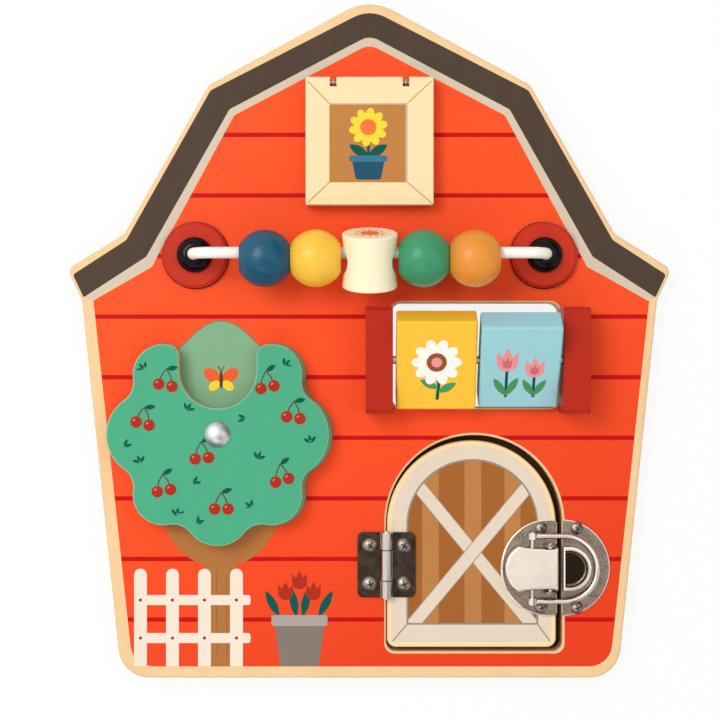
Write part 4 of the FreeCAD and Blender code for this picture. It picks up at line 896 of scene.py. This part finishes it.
def cross_slots(node, body, length, width, depth):
    """Small crosses, sunk into the tops of domed heads, in a dark colour that is painted shade for the recess
    of each slot.
    """
    mesh = nodes[node].data
    top = max(vertex.co.z for vertex in mesh.vertices)
    crowns = []
    for vertex in mesh.vertices:
        if vertex.co.z > top - 0.02 * MM:
            spot = Vector((vertex.co.x, vertex.co.y, top))
            if all((spot - other).length > 3 * MM for other in crowns):
                crowns.append(spot)
    built = bmesh.new()
    for number, crown in enumerate(crowns):
        turn = Matrix.Rotation(math.radians(20 + 37 * number), 4, "Z")
        for angle in (0, 90):
            sunk = Matrix.Translation(crown + Vector((0, 0, -depth / 2 + 0.03 * MM)))
            bar = sunk @ turn @ Matrix.Rotation(math.radians(angle), 4, "Z")
            size = Matrix.Diagonal((length, width, depth, 1))
            bmesh.ops.create_cube(built, size=1, matrix=bar @ size)
    cross = bpy.data.meshes.new(node + "_slots")
    built.to_mesh(cross)
    built.free()
    cross.materials.append(slot_shade_material)
    piece = bpy.data.objects.new(node + "_slots", cross)
    bpy.context.scene.collection.objects.link(piece)
    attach(piece, body)


SLOT_DEPTH = 0.5 * MM
HINGE_SLOT = (3.6 * MM, 0.7 * MM, SLOT_DEPTH)
LATCH_SLOT = (3.0 * MM, 0.6 * MM, SLOT_DEPTH)

cross_slots("hinge_screws_fixed", "board", *HINGE_SLOT)
cross_slots("hinge_screws_door", "door", *HINGE_SLOT)
cross_slots("keeper_screws", "board", *LATCH_SLOT)
cross_slots("latch_screws", "door", *LATCH_SLOT)

# Smooth faces on the CAD nodes

for node in nodes.values():
    node.data.shade_smooth()
    node.data.set_sharp_from_angle(angle=math.radians(28))

# Floor, light and world


def floor():
    made = Shader("floor_white", (0.9, 0.9, 0.9, 1), rough=0.9, level=0.1)
    tree = made.tree
    out = tree.nodes["Material Output"]
    glow = made.node("ShaderNodeEmission", {"Color": (1, 1, 1, 1), "Strength": 1.0})
    rays = made.node("ShaderNodeLightPath")
    seen = made.maths("MAXIMUM", rays.outputs["Is Camera Ray"], rays.outputs["Is Glossy Ray"])
    both = made.node("ShaderNodeMixShader", {
        0: made.maths("MULTIPLY", seen, 0.86), 1: made.surface.outputs[0], 2: glow.outputs[0],
    })
    tree.links.new(both.outputs[0], out.inputs["Surface"])
    mesh = bpy.data.meshes.new("floor")
    half = 4.0
    corners = [(-half, -half, 0), (half, -half, 0), (half, half, 0), (-half, half, 0)]
    mesh.from_pydata(corners, [], [(0, 1, 2, 3)])
    mesh.materials.append(made.material)
    plane = bpy.data.objects.new("floor", mesh)
    plane.location.z = -0.2 * MM
    bpy.context.scene.collection.objects.link(plane)


def area_light(name, place, size, watts, colour=(1, 1, 1)):
    """A soft box that looks at the board's middle."""
    data = bpy.data.lights.new(name, "AREA")
    data.shape = "RECTANGLE"
    data.size, data.size_y = size
    data.energy = watts
    data.color = colour
    lamp = bpy.data.objects.new(name, data)
    lamp.location = place
    lamp.rotation_euler = (Vector((0, 0, 0)) - Vector(place)).to_track_quat("-Z", "Y").to_euler()
    bpy.context.scene.collection.objects.link(lamp)


floor()
area_light("key", (-0.75, 0.5, 1.35), (0.9, 0.7), 12.5)
area_light("fill", (0.9, 0.1, 1.2), (0.8, 1.0), 3.2)
area_light("foot", (-0.2, -1.0, 1.0), (1.2, 0.6), 3.4)


def studio_world():
    """Even light for matt surfaces; polished ones see bright and dark bands of a studio."""
    made = bpy.data.worlds.new("world")
    made.use_nodes = True
    tree = made.node_tree
    background = tree.nodes["Background"]

    def link(source, node, slot):
        tree.links.new(source, node.inputs[slot])

    place = tree.nodes.new("ShaderNodeTexCoord")

    def towards(way, stops):
        """Grey levels by how nearly a direction points a given way, 0 for square to it and 1 for along it."""
        facing = tree.nodes.new("ShaderNodeVectorMath")
        facing.operation = "DOT_PRODUCT"
        link(place.outputs["Generated"], facing, 0)
        facing.inputs[1].default_value = Vector(way).normalized()
        levels = tree.nodes.new("ShaderNodeValToRGB")
        ramp = levels.color_ramp
        while len(ramp.elements) < len(stops):
            ramp.elements.new(0.5)
        for element, (where, level) in zip(ramp.elements, stops):
            element.position = where
            element.color = (level, level, level, 1)
        link(facing.outputs["Value"], levels, "Fac")
        return levels.outputs["Color"]

    box_stops = [(0.0, 0.03), (0.3, 0.07), (0.46, 0.55), (0.56, 1.0), (0.7, 1.0), (1.0, 1.0)]
    box = towards((-0.55, 0.5, 0.67), box_stops)
    strip_light = towards((0.75, -0.55, 0.35), [(0.0, 0.0), (0.86, 0.0), (0.9, 0.8), (1.0, 0.8)])
    bands = tree.nodes.new("ShaderNodeMix")
    bands.data_type = "RGBA"
    bands.blend_type = "ADD"
    bands.inputs[0].default_value = 1.0
    link(box, bands, 6)
    link(strip_light, bands, 7)
    rays = tree.nodes.new("ShaderNodeLightPath")
    glossy = tree.nodes.new("ShaderNodeMix")
    glossy.data_type = "RGBA"
    link(rays.outputs["Is Glossy Ray"], glossy, 0)
    glossy.inputs[6].default_value = (0.55, 0.55, 0.55, 1)
    link(bands.outputs[2], glossy, 7)
    seen = tree.nodes.new("ShaderNodeMix")
    seen.data_type = "RGBA"
    link(rays.outputs["Is Camera Ray"], seen, 0)
    link(glossy.outputs[2], seen, 6)
    seen.inputs[7].default_value = (0.95, 0.95, 0.95, 1)
    link(seen.outputs[2], background, "Color")
    background.inputs["Strength"].default_value = 1.0
    bpy.context.scene.world = made


studio_world()
bpy.context.scene.view_settings.view_transform = "Standard"
